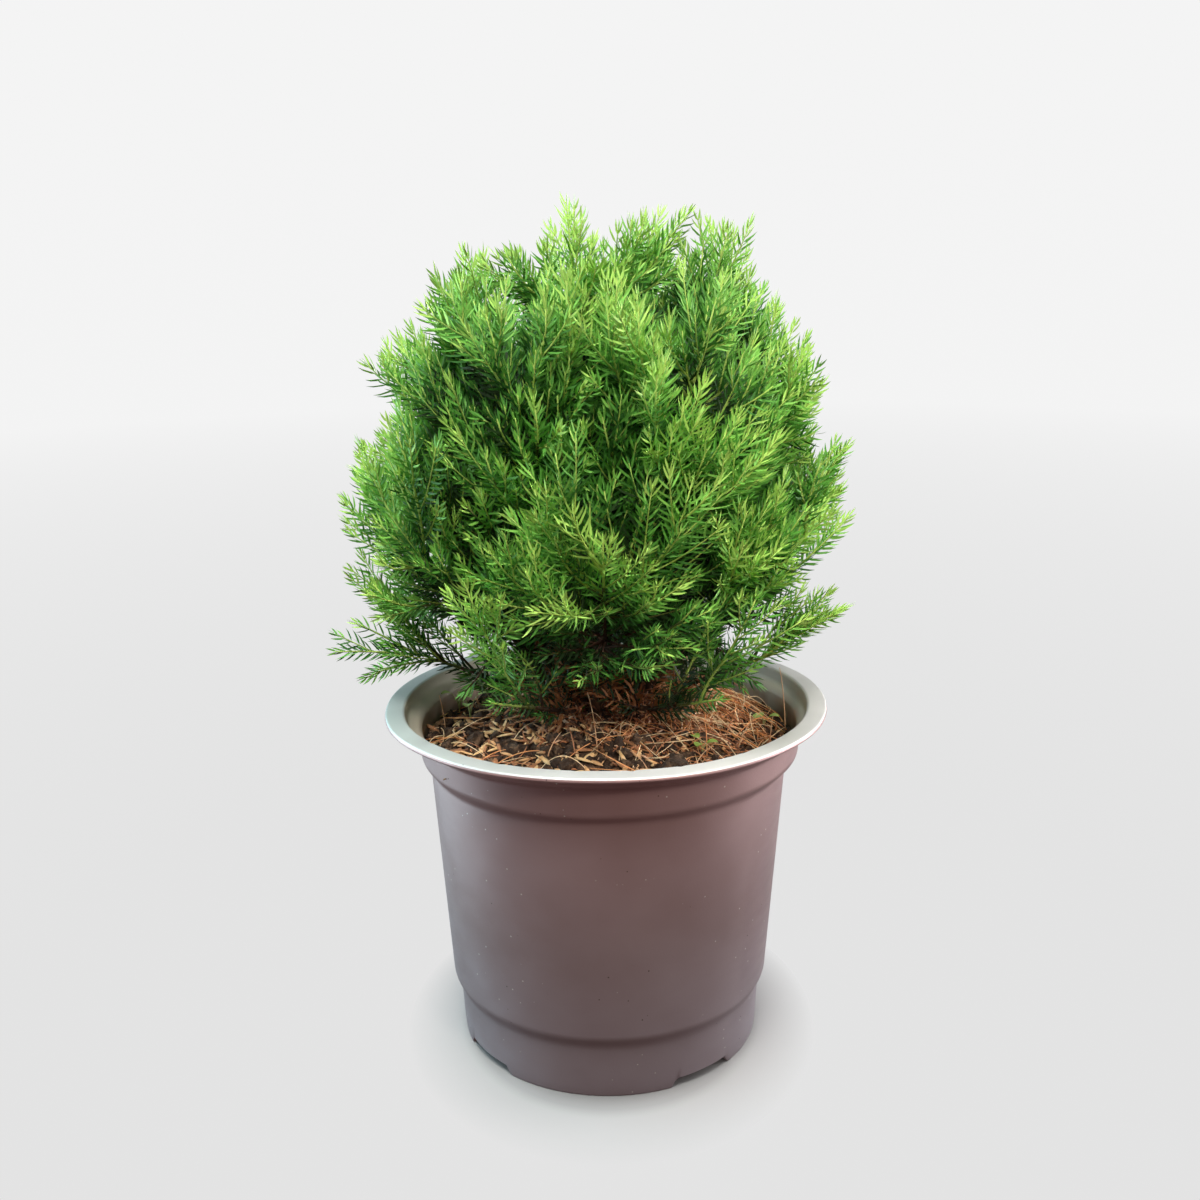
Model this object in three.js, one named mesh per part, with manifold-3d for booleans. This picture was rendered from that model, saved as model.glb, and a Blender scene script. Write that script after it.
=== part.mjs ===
// A young bushy conifer in a thin-walled plastic nursery pot, in millimetres, +Z up.
// The origin is the centre of the pot's underside. The pot holds a mounded body of soil. A trunk and six
// main stems stand on the soil, low and upper boughs leave the trunk, and each bough carries one mass of
// needled shoots. The masses share out the crown as cones that meet at one point under the soil's surface.
import * as THREE from "three";
import { mergeVertices } from "three/addons/utils/BufferGeometryUtils.js";
import Module from "manifold-3d";

const wasm = await Module();
wasm.setup();

// ---- Driving dimensions ----

const GAP = 0.3; // clearance between separate solids
const FINEST = 0.03; // edges shorter than this are closed up where shoots cross

const POT = {
  height: 128,
  rimRadius: 80, // outer edge of the flat rim
  mouthRadius: 73, // inner edge of the flat rim
  collarRadius: 70, // the straight band under the rim
  collarFoot: 110.6,
  bodyTopRadius: 65.6,
  bodyTop: 106.8,
  bodyFootRadius: 59.3,
  bodyFoot: 24.2,
  footTopRadius: 56.9, // the recessed band that the pot stands on
  footTop: 20.2,
  footRadius: 55.7,
  wall: 1.2,
  floorUnder: 4, // the floor is raised above the foot
  floorTop: 5.5,
  padRadius: 14, // round pad in the middle of the floor, level with the foot
  segments: 32,
  notches: 4, // water gates in the foot
  notchTurn: -54, // degrees, the direction of the first notch
  notchWidth: 27,
  notchHeight: 3.4,
  drains: 6,
  drainRadius: 4,
  drainCircle: 36,
};

const SOIL = { edge: 113.5, plateau: 124, plateauRadius: 26, mound: 3.5 };

const FAN = new THREE.Vector3(0, 0, 121); // where the cones of the crown meet
const CROWN = {
  centre: new THREE.Vector3(-1, 0, 200),
  radii: new THREE.Vector3(92, 90, 102),
  floor: 130.5, // no foliage hangs lower, so it clears the rim
  frontLift: 30, // how much higher the crown's underside is at the front, where the soil shows
  frontWidth: 60, // half the width of that opening
  shoots: 176, // evenly spread over the whole ellipsoid, of which the underside stays empty
  inner: 0.3, // share of the shoots that end further in
  innerDepth: [0.66, 0.86],
  outerDepth: [0.9, 1],
};

// Each tier is a ring of masses. Elevation is seen from the fan point, and a mass starts at the given share
// of its reach, where its bough ends. The reaches, one for each mass, give the crown its uneven outline.
const TIERS = [
  {
    name: "low",
    elevation: 20,
    turn: 0,
    start: 0.4,
    reach: [0.95, 1.0, 0.98, 1.04, 0.97, 1.0],
  },
  {
    name: "middle",
    elevation: 44,
    turn: 30,
    start: 0.42,
    reach: [1.0, 0.97, 0.99, 0.96, 1.0, 0.98],
  },
  {
    name: "upper",
    elevation: 68,
    turn: 18,
    start: 0.42,
    reach: [1.02, 0.98, 0.97, 0.98, 1.01],
  },
];
const TOP = { name: "top", reach: 1.0 }; // the mass that carries on from the trunk's tip

const TRUNK = {
  path: [
    [-4, 2, SOIL.plateau + GAP],
    [-5, 2.5, 132],
    [-8, 3, 160],
    [-9.5, 2, 200],
    [-8, 1, 236],
    [-8, 0, 262],
  ],
  radii: [6.6, 4.4, 3.6, 2.9, 2.1, 1.3],
  sides: 8,
};
const LIMB = {
  sides: 6,
  steps: 4, // straight pieces in a stem or bough
  flare: 1.35, // how much wider a stem stands on the soil
  straight: 0.5, // share of its length over which a limb swings into its mass's direction
};
const STEM = { footCircle: 14, radius: 2.7, tipRadius: 1.2 };
const LOW_BOUGH = { height: 133, radius: 1.8, tipRadius: 1.1 };
const UPPER_BOUGH = { height: 168, radius: 1.5, tipRadius: 1 };

const SHOOT = {
  radius: 0.9,
  tipRadius: 0.5,
  stemRadius: 1.3, // where a mass's own stem leaves its bough
  joint: 6.2, // length of needled stem between two rings of needles
  joints: 3,
  shortest: 15.5,
  needle: 8,
  needleLean: 48, // degrees forward of square to the stem
  leave: 34, // degrees between a shoot and the stem that it leaves
  tipCone: 5,
  liftFrom: 135, // shoots turn up towards their ends, from this height on
  liftFull: 190, // and fully from here
};

// ---- Materials ----

function finish(color, roughness) {
  return new THREE.MeshStandardMaterial({ color, roughness, metalness: 0 });
}
const POT_PLASTIC = finish(0x8d8a8c, 0.5);
const SOIL_MIX = finish(0x3a2a20, 0.95);
const BARK = finish(0x5a4030, 0.9);
const NEEDLES = finish(0x4f9a35, 0.6);

const plant = new THREE.Group();

function addNode(name, geometry, material) {
  const mesh = new THREE.Mesh(geometry, material);
  mesh.name = name;
  plant.add(mesh);
}

// ---- Solids ----

// A closed geometry as a manifold solid: only its positions count, and equal ones are merged.
function toSolid(geometry) {
  const bare = new THREE.BufferGeometry();
  bare.setAttribute("position", geometry.getAttribute("position"));
  bare.setIndex(geometry.getIndex());
  const merged = mergeVertices(bare, 1e-4);
  return new wasm.Manifold(
    new wasm.Mesh({
      numProp: 3,
      vertProperties: merged.getAttribute("position").array,
      triVerts: new Uint32Array(merged.getIndex().array),
    }),
  );
}

function toGeometry(solid) {
  const mesh = solid.getMesh();
  const geometry = new THREE.BufferGeometry();
  geometry.setAttribute(
    "position",
    new THREE.BufferAttribute(new Float32Array(mesh.vertProperties), 3),
  );
  geometry.setIndex(new THREE.BufferAttribute(mesh.triVerts, 1));
  geometry.computeVertexNormals();
  return geometry;
}

function facesGeometry(faces) {
  const corners = faces.flat().flatMap((p) => [p.x, p.y, p.z]);
  const geometry = new THREE.BufferGeometry();
  geometry.setAttribute(
    "position",
    new THREE.Float32BufferAttribute(corners, 3),
  );
  return geometry;
}

// A profile of [radius, height] pairs, from the axis back to the axis, turned about Z.
function turned(profile) {
  const outline = profile.map(([r, z]) => new THREE.Vector2(r, z));
  return new THREE.LatheGeometry(outline, POT.segments).rotateX(Math.PI / 2);
}

// The centre, side and forward directions at each point of a path, turned as little as possible between them.
function framesAlong(points) {
  const frames = [];
  let side = new THREE.Vector3(1, 0, 0);
  points.forEach((centre, i) => {
    const before = points[Math.max(i - 1, 0)];
    const after = points[Math.min(i + 1, points.length - 1)];
    const forward = after.clone().sub(before).normalize();
    if (Math.abs(side.dot(forward)) > 0.95) side = new THREE.Vector3(0, 1, 0);
    side = side.clone().addScaledVector(forward, -side.dot(forward)).normalize();
    const across = forward.clone().cross(side);
    frames.push({ centre, forward, side, across });
  });
  return frames;
}

function ringOn(frame, radius, sides, turn) {
  return Array.from({ length: sides }, (_, j) => {
    const angle = turn + (j * 2 * Math.PI) / sides;
    return frame.centre
      .clone()
      .addScaledVector(frame.side, radius * Math.cos(angle))
      .addScaledVector(frame.across, radius * Math.sin(angle));
  });
}

// A tapering limb with flat ends. A limb that stands on the ground has its first ring level.
function limbGeometry(points, radii, sides, standing) {
  const frames = framesAlong(points);
  if (standing) {
    frames[0].forward = new THREE.Vector3(0, 0, 1);
    frames[0].side = new THREE.Vector3(1, 0, 0);
    frames[0].across = new THREE.Vector3(0, 1, 0);
  }
  const rings = frames.map((frame, i) => ringOn(frame, radii[i], sides, 0));
  const faces = [];
  const last = rings.length - 1;
  for (let j = 0; j < sides; j++) {
    const next = (j + 1) % sides;
    for (let i = 0; i < last; i++) {
      faces.push([rings[i][j], rings[i][next], rings[i + 1][next]]);
      faces.push([rings[i][j], rings[i + 1][next], rings[i + 1][j]]);
    }
    if (j > 0 && next > 0) {
      faces.push([rings[0][0], rings[0][next], rings[0][j]]);
      faces.push([rings[last][0], rings[last][j], rings[last][next]]);
    }
  }
  return facesGeometry(faces);
}

// ---- Pot ----

function potGeometry() {
  const p = POT;
  const w = p.wall;
  const shell = turned([
    [0, 0],
    [p.padRadius, 0],
    [p.padRadius + 0.8, p.floorUnder],
    [p.footRadius - 1.7, p.floorUnder],
    [p.footRadius - 1.5, 0],
    [p.footRadius, 0],
    [p.footTopRadius, p.footTop],
    [p.bodyFootRadius, p.bodyFoot],
    [p.bodyTopRadius, p.bodyTop],
    [p.collarRadius, p.collarFoot],
    [p.collarRadius + 0.6, p.height - 7.4],
    [p.mouthRadius + 0.9, p.height - 5.8],
    [p.mouthRadius + 1.2, p.height - 2.1],
    [p.rimRadius - 0.8, p.height - 2.3],
    [p.rimRadius, p.height - 1.6],
    [p.rimRadius - 0.5, p.height - 0.3],
    [p.mouthRadius + 0.5, p.height],
    [p.mouthRadius - 0.3, p.height - 0.7],
    [p.mouthRadius - 0.5, p.height - 5.2],
    [p.collarRadius - w + 0.5, p.height - 6.8],
    [p.collarRadius - w, p.collarFoot + 0.4],
    [p.bodyTopRadius - w, p.bodyTop + 0.4],
    [p.bodyFootRadius - w, p.bodyFoot + 0.4],
    [p.footTopRadius - w, p.footTop + 0.4],
    [p.footRadius - w, p.floorTop],
    [0, p.floorTop],
  ]);
  let solid = toSolid(shell);
  for (let i = 0; i < p.notches; i++) {
    const turn = THREE.MathUtils.degToRad(p.notchTurn + (i * 360) / p.notches);
    solid = solid.subtract(toSolid(notchGeometry(turn)));
  }
  for (let i = 0; i < p.drains; i++) {
    const turn = (i * 2 * Math.PI) / p.drains;
    const drain = new THREE.CylinderGeometry(p.drainRadius, p.drainRadius, 20, 10)
      .rotateX(Math.PI / 2)
      .translate(p.drainCircle * Math.cos(turn), p.drainCircle * Math.sin(turn), 0);
    solid = solid.subtract(toSolid(drain));
  }
  return toGeometry(solid);
}

// A water gate: a low arch with sloping sides, cut through the foot's wall.
function notchGeometry(turn) {
  const half = POT.notchWidth / 2;
  const arch = new THREE.Shape([
    new THREE.Vector2(-half, -1),
    new THREE.Vector2(half, -1),
    new THREE.Vector2(half - 2.5, POT.notchHeight),
    new THREE.Vector2(2.5 - half, POT.notchHeight),
  ]);
  return new THREE.ExtrudeGeometry(arch, { depth: 16, bevelEnabled: false })
    .rotateX(Math.PI / 2)
    .rotateZ(Math.PI / 2)
    .translate(POT.footRadius - 8, 0, 0)
    .rotateZ(turn);
}

// ---- Soil ----

// Height of the soil's top: level in the middle, where the stems stand, and sloping down to the wall, with a
// low mound behind and to the right.
function soilHeight(x, y) {
  const r = Math.hypot(x, y);
  const edge = POT.collarRadius - POT.wall;
  const down = THREE.MathUtils.smoothstep(r, SOIL.plateauRadius, edge);
  const mound = SOIL.mound * Math.exp(-((x - 42) ** 2 + (y - 12) ** 2) / 400);
  const clear = THREE.MathUtils.smoothstep(r, SOIL.plateauRadius + 1, SOIL.plateauRadius + 10);
  return SOIL.plateau - (SOIL.plateau - SOIL.edge) * down + mound * clear;
}

function soilGeometry() {
  const inset = POT.wall + GAP;
  const top = [58, 42, SOIL.plateauRadius, 0].map((r) => [r, POT.height]);
  const body = turned([
    [0, POT.floorTop + GAP],
    [POT.footRadius - inset, POT.floorTop + GAP],
    [POT.footTopRadius - inset, POT.footTop + 0.4],
    [POT.bodyFootRadius - inset, POT.bodyFoot + 0.4],
    [POT.bodyTopRadius - inset, POT.bodyTop + 0.4],
    [POT.collarRadius - inset, POT.collarFoot + 0.6],
    [POT.collarRadius - inset, SOIL.edge],
    ...top,
  ]);
  const at = body.getAttribute("position");
  for (let i = 0; i < at.count; i++) {
    if (at.getZ(i) >= SOIL.edge) at.setZ(i, soilHeight(at.getX(i), at.getY(i)));
  }
  return body;
}

// ---- Crown: the cones that the masses keep to, and the directions of their boughs ----

// A seeded row of numbers from 0 to 1.
function dice(seed) {
  let state = seed >>> 0;
  return () => {
    state = (Math.imul(state, 1664525) + 1013904223) >>> 0;
    return state / 4294967296;
  };
}

function directionOf(azimuth, elevation) {
  const a = THREE.MathUtils.degToRad(azimuth);
  const e = THREE.MathUtils.degToRad(elevation);
  return new THREE.Vector3(
    Math.cos(a) * Math.cos(e),
    Math.sin(a) * Math.cos(e),
    Math.sin(e),
  );
}

// Distance from the fan point to the crown's ellipsoid along a direction.
function crownReach(direction) {
  const from = FAN.clone().sub(CROWN.centre).divide(CROWN.radii);
  const along = direction.clone().divide(CROWN.radii);
  const a = along.dot(along);
  const b = from.dot(along);
  const c = from.dot(from) - 1;
  return (Math.sqrt(b * b - a * c) - b) / a;
}

function makeMasses() {
  const masses = TIERS.flatMap((tier) =>
    tier.reach.map((reach, i) => ({
      name: `foliage_${tier.name}_${i + 1}`,
      tier: tier.name,
      direction: directionOf(tier.turn + (i * 360) / tier.reach.length, tier.elevation),
      start: tier.start,
      reach,
    })),
  );
  const top = new THREE.Vector3(...TRUNK.path.at(-1)).sub(FAN);
  const direction = top.clone().normalize();
  masses.push({
    name: "foliage_top",
    tier: TOP.name,
    direction,
    start: top.length() / (crownReach(direction) * TOP.reach),
    reach: TOP.reach,
  });
  masses.forEach((mass) => {
    mass.length = crownReach(mass.direction) * mass.reach;
    mass.foot = FAN.clone().addScaledVector(mass.direction, mass.length * mass.start);
  });
  return masses;
}
const MASSES = makeMasses();

// Height of the crown's underside: just above the rim, and higher over the middle of the front.
function underside(point) {
  const ahead = THREE.MathUtils.smoothstep(-point.y, 5, 55);
  const across = 1 - THREE.MathUtils.smoothstep(Math.abs(point.x), 0.4 * CROWN.frontWidth, CROWN.frontWidth);
  return CROWN.floor + CROWN.frontLift * ahead * across;
}

// True where a point lies in the mass's own cone, clear of the cones beside it, and above the underside.
function inSpace(mass, point) {
  if (point.z < underside(point)) return false;
  const from = point.clone().sub(FAN);
  return MASSES.every((other) => {
    if (other === mass) return true;
    const toward = mass.direction.clone().sub(other.direction);
    return from.dot(toward) > toward.length() * GAP;
  });
}

// ---- Trunk, stems and boughs ----

const limbs = []; // centre lines and radii, for the foliage to keep clear of

// A tapering limb that ends at the foot of its mass, in the mass's direction.
function limbTo(mass, root, kind, standing) {
  const end = mass.foot;
  const back = LIMB.straight * root.distanceTo(end);
  const knee = end.clone().addScaledVector(mass.direction, -back);
  const points = new THREE.QuadraticBezierCurve3(root, knee, end).getPoints(LIMB.steps);
  const radii = points.map((_, i) =>
    THREE.MathUtils.lerp(kind.radius, kind.tipRadius, i / LIMB.steps),
  );
  if (standing) radii[0] *= LIMB.flare;
  limbs.push({ points, radii });
  return limbGeometry(points, radii, LIMB.sides, standing);
}

const trunkLine = TRUNK.path.map((p) => new THREE.Vector3(...p));

function addTrunk() {
  limbs.push({ points: trunkLine, radii: TRUNK.radii });
  addNode("trunk", limbGeometry(trunkLine, TRUNK.radii, TRUNK.sides, true), BARK);
}

// The centre of the trunk at a height.
function trunkAt(height) {
  const i = trunkLine.findIndex((p, k) => k > 0 && p.z >= height);
  const [below, above] = [trunkLine[i - 1], trunkLine[i]];
  return below.clone().lerp(above, (height - below.z) / (above.z - below.z));
}

// A bough that leaves the trunk: it is drawn from the trunk's centre line and cut clear of the trunk.
function boughFromTrunk(mass, kind) {
  const bough = toSolid(limbTo(mass, trunkAt(kind.height), kind, false));
  const wide = TRUNK.radii.map((r) => r + GAP);
  const clearance = toSolid(limbGeometry(trunkLine, wide, TRUNK.sides, true));
  return toGeometry(largest(bough.subtract(clearance).decompose()));
}

function largest(parts) {
  return parts.reduce((a, b) => (a.volume() > b.volume() ? a : b));
}

// A main stem that rises from its own foot in the soil.
function stemFromSoil(mass) {
  const flat = mass.direction.clone().setZ(0).normalize();
  const foot = trunkLine[0].clone().addScaledVector(flat, STEM.footCircle);
  return limbTo(mass, foot, STEM, true);
}

function addBoughs() {
  for (const mass of MASSES) {
    const number = mass.name.split("_").at(-1);
    if (mass.tier === "low") {
      addNode(`low_bough_${number}`, boughFromTrunk(mass, LOW_BOUGH), BARK);
    } else if (mass.tier === "middle") {
      addNode(`main_stem_${number}`, stemFromSoil(mass), BARK);
    } else if (mass.tier === "upper") {
      addNode(`upper_bough_${number}`, boughFromTrunk(mass, UPPER_BOUGH), BARK);
    }
  }
}

function clearOfLimbs(point) {
  const line = new THREE.Line3();
  const near = new THREE.Vector3();
  return limbs.every(({ points, radii }) =>
    points.slice(1).every((end, i) => {
      line.set(points[i], end).closestPointToPoint(point, true, near);
      return near.distanceTo(point) > Math.max(radii[i], radii[i + 1]) + 2 * GAP;
    }),
  );
}

// ---- Foliage ----

// One shoot: a three-sided stem whose rings are turned by a sixth of a turn at each joint. The first joint is
// bare. Each of the six faces of the others is drawn out into a needle that leans forward, if its tip stays
// in the space.
function shootGeometry({ points, radii }, allowed) {
  const frames = framesAlong(points);
  const rings = frames.map((frame, i) => ringOn(frame, radii[i], 3, (i * Math.PI) / 3));
  const last = rings.length - 1;
  const lean = THREE.MathUtils.degToRad(SHOOT.needleLean);
  const faces = [[rings[0][0], rings[0][2], rings[0][1]]];
  const addFace = (face, frame, needled) => {
    const base = face[0].clone().add(face[1]).add(face[2]).divideScalar(3);
    const outward = base.clone().sub(frame.centre);
    outward.addScaledVector(frame.forward, -outward.dot(frame.forward)).normalize();
    const tip = base
      .addScaledVector(outward, SHOOT.needle * Math.cos(lean))
      .addScaledVector(frame.forward, SHOOT.needle * Math.sin(lean));
    if (needled && allowed(tip)) {
      faces.push([face[0], face[1], tip], [face[1], face[2], tip], [face[2], face[0], tip]);
    } else {
      faces.push(face);
    }
  };
  for (let i = 0; i < last; i++) {
    const [low, high] = [rings[i], rings[i + 1]];
    for (let j = 0; j < 3; j++) {
      const next = (j + 1) % 3;
      addFace([low[j], low[next], high[j]], frames[i], i > 0);
      addFace([high[j], low[next], high[next]], frames[i + 1], i > 0);
    }
  }
  const bud = points[last].clone().addScaledVector(frames[last].forward, SHOOT.tipCone);
  for (let j = 0; j < 3; j++) faces.push([rings[last][j], rings[last][(j + 1) % 3], bud]);
  return facesGeometry(faces);
}

// Points and radii of a shoot along a curve: one long bare joint, then the needled ones, or one fewer where
// the curve is short.
function shootAlong(curve, rootRadius) {
  const length = curve.getLength();
  const needled = length < (SHOOT.joints + 1) * SHOOT.joint ? SHOOT.joints - 1 : SHOOT.joints;
  const bare = length - needled * SHOOT.joint;
  const stops = [0, bare];
  for (let i = 1; i <= needled; i++) stops.push(bare + i * SHOOT.joint);
  const points = stops.map((stop) => curve.getPointAt(Math.min(stop / length, 1)));
  const radii = stops.map((_, i) =>
    THREE.MathUtils.lerp(rootRadius, SHOOT.tipRadius, i / (stops.length - 1)),
  );
  return { points, radii };
}

// Where the shoots of the crown end: points spread evenly over its ellipsoid, each given to the mass in whose
// cone it lies and moved in or out by that mass's reach.
function shareOutTips() {
  const golden = Math.PI * (3 - Math.sqrt(5));
  const roll = dice(7);
  for (let i = 0; i < CROWN.shoots; i++) {
    const up = 1 - (2 * (i + 0.5)) / CROWN.shoots;
    const round = Math.sqrt(1 - up * up);
    const [least, most] = roll() < CROWN.inner ? CROWN.innerDepth : CROWN.outerDepth;
    const depth = THREE.MathUtils.lerp(least, most, roll());
    const tip = new THREE.Vector3(round * Math.cos(i * golden), round * Math.sin(i * golden), up)
      .multiply(CROWN.radii)
      .multiplyScalar(depth)
      .add(CROWN.centre);
    const from = tip.clone().sub(FAN);
    const mass = MASSES.reduce((a, b) => (from.dot(a.direction) > from.dot(b.direction) ? a : b));
    mass.tips = mass.tips ?? [];
    mass.tips.push(from.multiplyScalar(mass.reach).add(FAN));
  }
}

// A shoot from a mass's stem to a tip. It leaves the stem at a set angle and turns up towards its end, the
// more so the higher it is. It is left out where it would not keep to the mass's space.
function shootTo(mass, tip, roll) {
  const from = tip.clone().sub(FAN);
  const along = from.dot(mass.direction);
  const beside = from.clone().addScaledVector(mass.direction, -along).length();
  const back = beside / Math.tan(THREE.MathUtils.degToRad(SHOOT.leave));
  const lowest = mass.length * mass.start + 1 + SHOOT.joint * roll();
  const highest = mass.length - SHOOT.joint * (2.5 + roll());
  const place = THREE.MathUtils.clamp(along - back, lowest, highest);
  const root = FAN.clone().addScaledVector(mass.direction, place);
  const lift = THREE.MathUtils.smoothstep(tip.z, SHOOT.liftFrom, SHOOT.liftFull);
  const end = tip
    .clone()
    .sub(CROWN.centre)
    .normalize()
    .multiplyScalar(1 - 0.55 * lift)
    .add(new THREE.Vector3(0, 0, 0.1 + 0.85 * lift))
    .normalize();
  const middle = root.clone().lerp(tip, 0.5);
  const knee = tip.clone().addScaledVector(end, -0.5 * root.distanceTo(tip));
  for (let i = 0; i < 4 && !inSpace(mass, knee); i++) knee.lerp(middle, 0.5);
  const curve = new THREE.QuadraticBezierCurve3(root, knee, tip);
  if (curve.getLength() < SHOOT.shortest) return null;
  const line = shootAlong(curve, SHOOT.radius);
  const allowed = (p) => inSpace(mass, p) && clearOfLimbs(p);
  const clear = SHOOT.radius + GAP;
  const fits = line.points.slice(1).every((p) => allowed(p) && p.z > underside(p) + clear);
  return fits ? shootGeometry(line, allowed) : null;
}

// A mass: its stem goes on from the bough's tip, and its shoots are fused on with their roots in the stem.
function massGeometry(mass) {
  const root = mass.foot.clone().addScaledVector(mass.direction, GAP);
  const tip = FAN.clone().addScaledVector(mass.direction, mass.length - SHOOT.tipCone);
  const middle = root.clone().lerp(tip, 0.5);
  const curve = new THREE.QuadraticBezierCurve3(root, middle, tip);
  const allowed = (p) => inSpace(mass, p) && clearOfLimbs(p);
  const stem = shootGeometry(shootAlong(curve, SHOOT.stemRadius), allowed);
  const solids = [toSolid(stem)];
  const roll = dice(mass.tips.length);
  for (const end of mass.tips) {
    const shoot = shootTo(mass, end, roll);
    if (shoot) solids.push(toSolid(shoot));
  }
  const joined = wasm.Manifold.union(solids).simplify(FINEST);
  return toGeometry(largest(joined.decompose()));
}

// ---- Assembly ----

addNode("pot", potGeometry(), POT_PLASTIC);
addNode("soil", soilGeometry(), SOIL_MIX);
addTrunk();
addBoughs();
shareOutTips();
for (const mass of MASSES) addNode(mass.name, massGeometry(mass), NEEDLES);

export default plant;
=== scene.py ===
import math

import bpy
import numpy as np
from mathutils import Matrix, Vector


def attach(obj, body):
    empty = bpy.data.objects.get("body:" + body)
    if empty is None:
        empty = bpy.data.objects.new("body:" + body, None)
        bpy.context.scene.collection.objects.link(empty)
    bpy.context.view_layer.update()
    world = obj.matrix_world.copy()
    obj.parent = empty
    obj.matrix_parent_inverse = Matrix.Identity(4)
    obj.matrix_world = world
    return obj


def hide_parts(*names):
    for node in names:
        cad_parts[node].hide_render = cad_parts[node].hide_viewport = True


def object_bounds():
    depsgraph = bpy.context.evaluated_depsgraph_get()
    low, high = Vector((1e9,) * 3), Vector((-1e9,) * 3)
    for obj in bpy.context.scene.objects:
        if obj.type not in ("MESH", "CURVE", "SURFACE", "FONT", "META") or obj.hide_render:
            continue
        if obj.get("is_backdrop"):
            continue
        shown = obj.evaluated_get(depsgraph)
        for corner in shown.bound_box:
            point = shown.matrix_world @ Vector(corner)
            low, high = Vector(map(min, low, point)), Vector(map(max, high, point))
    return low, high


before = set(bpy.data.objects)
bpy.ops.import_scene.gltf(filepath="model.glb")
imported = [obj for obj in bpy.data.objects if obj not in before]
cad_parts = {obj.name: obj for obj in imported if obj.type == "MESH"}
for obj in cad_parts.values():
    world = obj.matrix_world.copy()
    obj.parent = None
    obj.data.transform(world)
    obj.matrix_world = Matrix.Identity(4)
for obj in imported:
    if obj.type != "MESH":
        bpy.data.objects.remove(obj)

cad_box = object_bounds()

# ---- Camera ----
# A hand-held view of the plant from just above the rim, a little off level. It stands half a metre away,
# so the soil shows over the near side of the rim.
CAMERA_PLACE = Vector((0, -0.45137, 0.277765))
CAMERA_LENS = 38.79
CAMERA_DOWN, CAMERA_LEAN, CAMERA_TURN = (math.radians(a) for a in (14.062, -0.935, -0.175))

forward = Vector(
    (
        math.sin(CAMERA_TURN) * math.cos(CAMERA_DOWN),
        math.cos(CAMERA_TURN) * math.cos(CAMERA_DOWN),
        -math.sin(CAMERA_DOWN),
    )
)
level = Vector((math.cos(CAMERA_TURN), -math.sin(CAMERA_TURN), 0))
above = level.cross(forward)
camera_right = level * math.cos(CAMERA_LEAN) + above * math.sin(CAMERA_LEAN)
camera_up = above * math.cos(CAMERA_LEAN) - level * math.sin(CAMERA_LEAN)
camera = bpy.data.objects.new("camera", bpy.data.cameras.new("camera"))
camera.data.lens = CAMERA_LENS
camera.matrix_world = (
    Matrix.Translation(CAMERA_PLACE)
    @ Matrix((camera_right, camera_up, -forward)).transposed().to_4x4()
)
bpy.context.collection.objects.link(camera)
bpy.context.scene.camera = camera
bpy.context.scene.view_settings.view_transform = "Standard"

# ---- Pot ----
# A nursery pot pressed from thin silver-grey polypropylene, with a flat rolled rim, a straight collar and a
# recessed foot band that has four water gates. Its floor is raised, with a round pad and six drain holes.
MM = 0.001
POT_HEIGHT = 128
POT_PROFILE = [  # radius and height of each corner, up the outside and down the inside
    (14, 0), (14.8, 4), (54, 4), (54.2, 0), (55.7, 0), (56.9, 20.2), (59.3, 24.2), (65.6, 106.8),
    (70, 110.6), (70.6, 120.6), (73.9, 122.2), (74.2, 125.9), (79.2, 125.7), (80, 126.4), (79.5, 127.7),
    (73.5, 128), (72.7, 127.3), (72.5, 122.8), (69.3, 121.2), (68.8, 111), (64.4, 107.2), (58.1, 24.6),
    (55.7, 20.6), (54.5, 5.5),
]
POT_CORNER = 1.6  # how far from a corner its rounding starts
POT_SEGMENTS = 288
GATE_CORNER, RIM_CORNER, INSIDE_CORNER = 4, 14, 16  # at which the gates, the rim's top and the inside start
GATE_RINGS = [(56.05, 3.6), (56.3, 8)]  # radius and height of two rings just above the water gates
GATE = {"count": 4, "turn": -54, "width": 27, "slope": 2.5, "height": 3.4}
FOOT_RADIUS, FOOT_INSIDE = 55.7, 53.5
LOOSE_FROM, LOOSE_RISE, WAVE_RADIUS = 24, 100, 75  # the wall waves from the foot band up
DROOP_FROM = 121.5
DENT = {"turn": 192, "half_width": 1.1, "depth": 2.4, "radius": 70, "foot": 100, "top": 124.5}
RIM_NICKS = [(-118, 0.35), (-97, 0.3), (-84, 0.45), (-71, 0.25), (-52, 0.3), (-143, 0.4), (38, 0.4)]
NICK_WIDTH, MOUTH_RADIUS, MOUTH_EDGE, MOUTH_LEVEL = 0.9, 73, 74.2, 127
DRAIN = {"count": 6, "radius": 4, "circle": 36, "depth": 20}


def add_piece(name, points, faces, materials, tones=None, smooth=True):
    """One mesh from arrays: points in millimetres, and triangles or quads."""
    mesh = bpy.data.meshes.new(name)
    faces = faces if isinstance(faces, list) else [faces]
    corners = np.concatenate([np.asarray(f).ravel() for f in faces]).astype(np.int32)
    sizes = np.concatenate([np.full(len(f), np.asarray(f).shape[1]) for f in faces])
    starts = np.concatenate([[0], np.cumsum(sizes)[:-1]]).astype(np.int32)
    mesh.vertices.add(len(points))
    mesh.vertices.foreach_set("co", (np.asarray(points) * MM).astype(np.float32).ravel())
    mesh.loops.add(len(corners))
    mesh.loops.foreach_set("vertex_index", corners)
    mesh.polygons.add(len(sizes))
    mesh.polygons.foreach_set("loop_start", starts)
    if tones is not None:
        mesh.polygons.foreach_set("material_index", np.asarray(tones).astype(np.int32))
    mesh.polygons.foreach_set("use_smooth", np.full(len(sizes), smooth))
    mesh.update(calc_edges=True)
    for material in materials:
        mesh.materials.append(material)
    piece = bpy.data.objects.new(name, mesh)
    bpy.context.collection.objects.link(piece)
    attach(piece, "root")
    return piece


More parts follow.
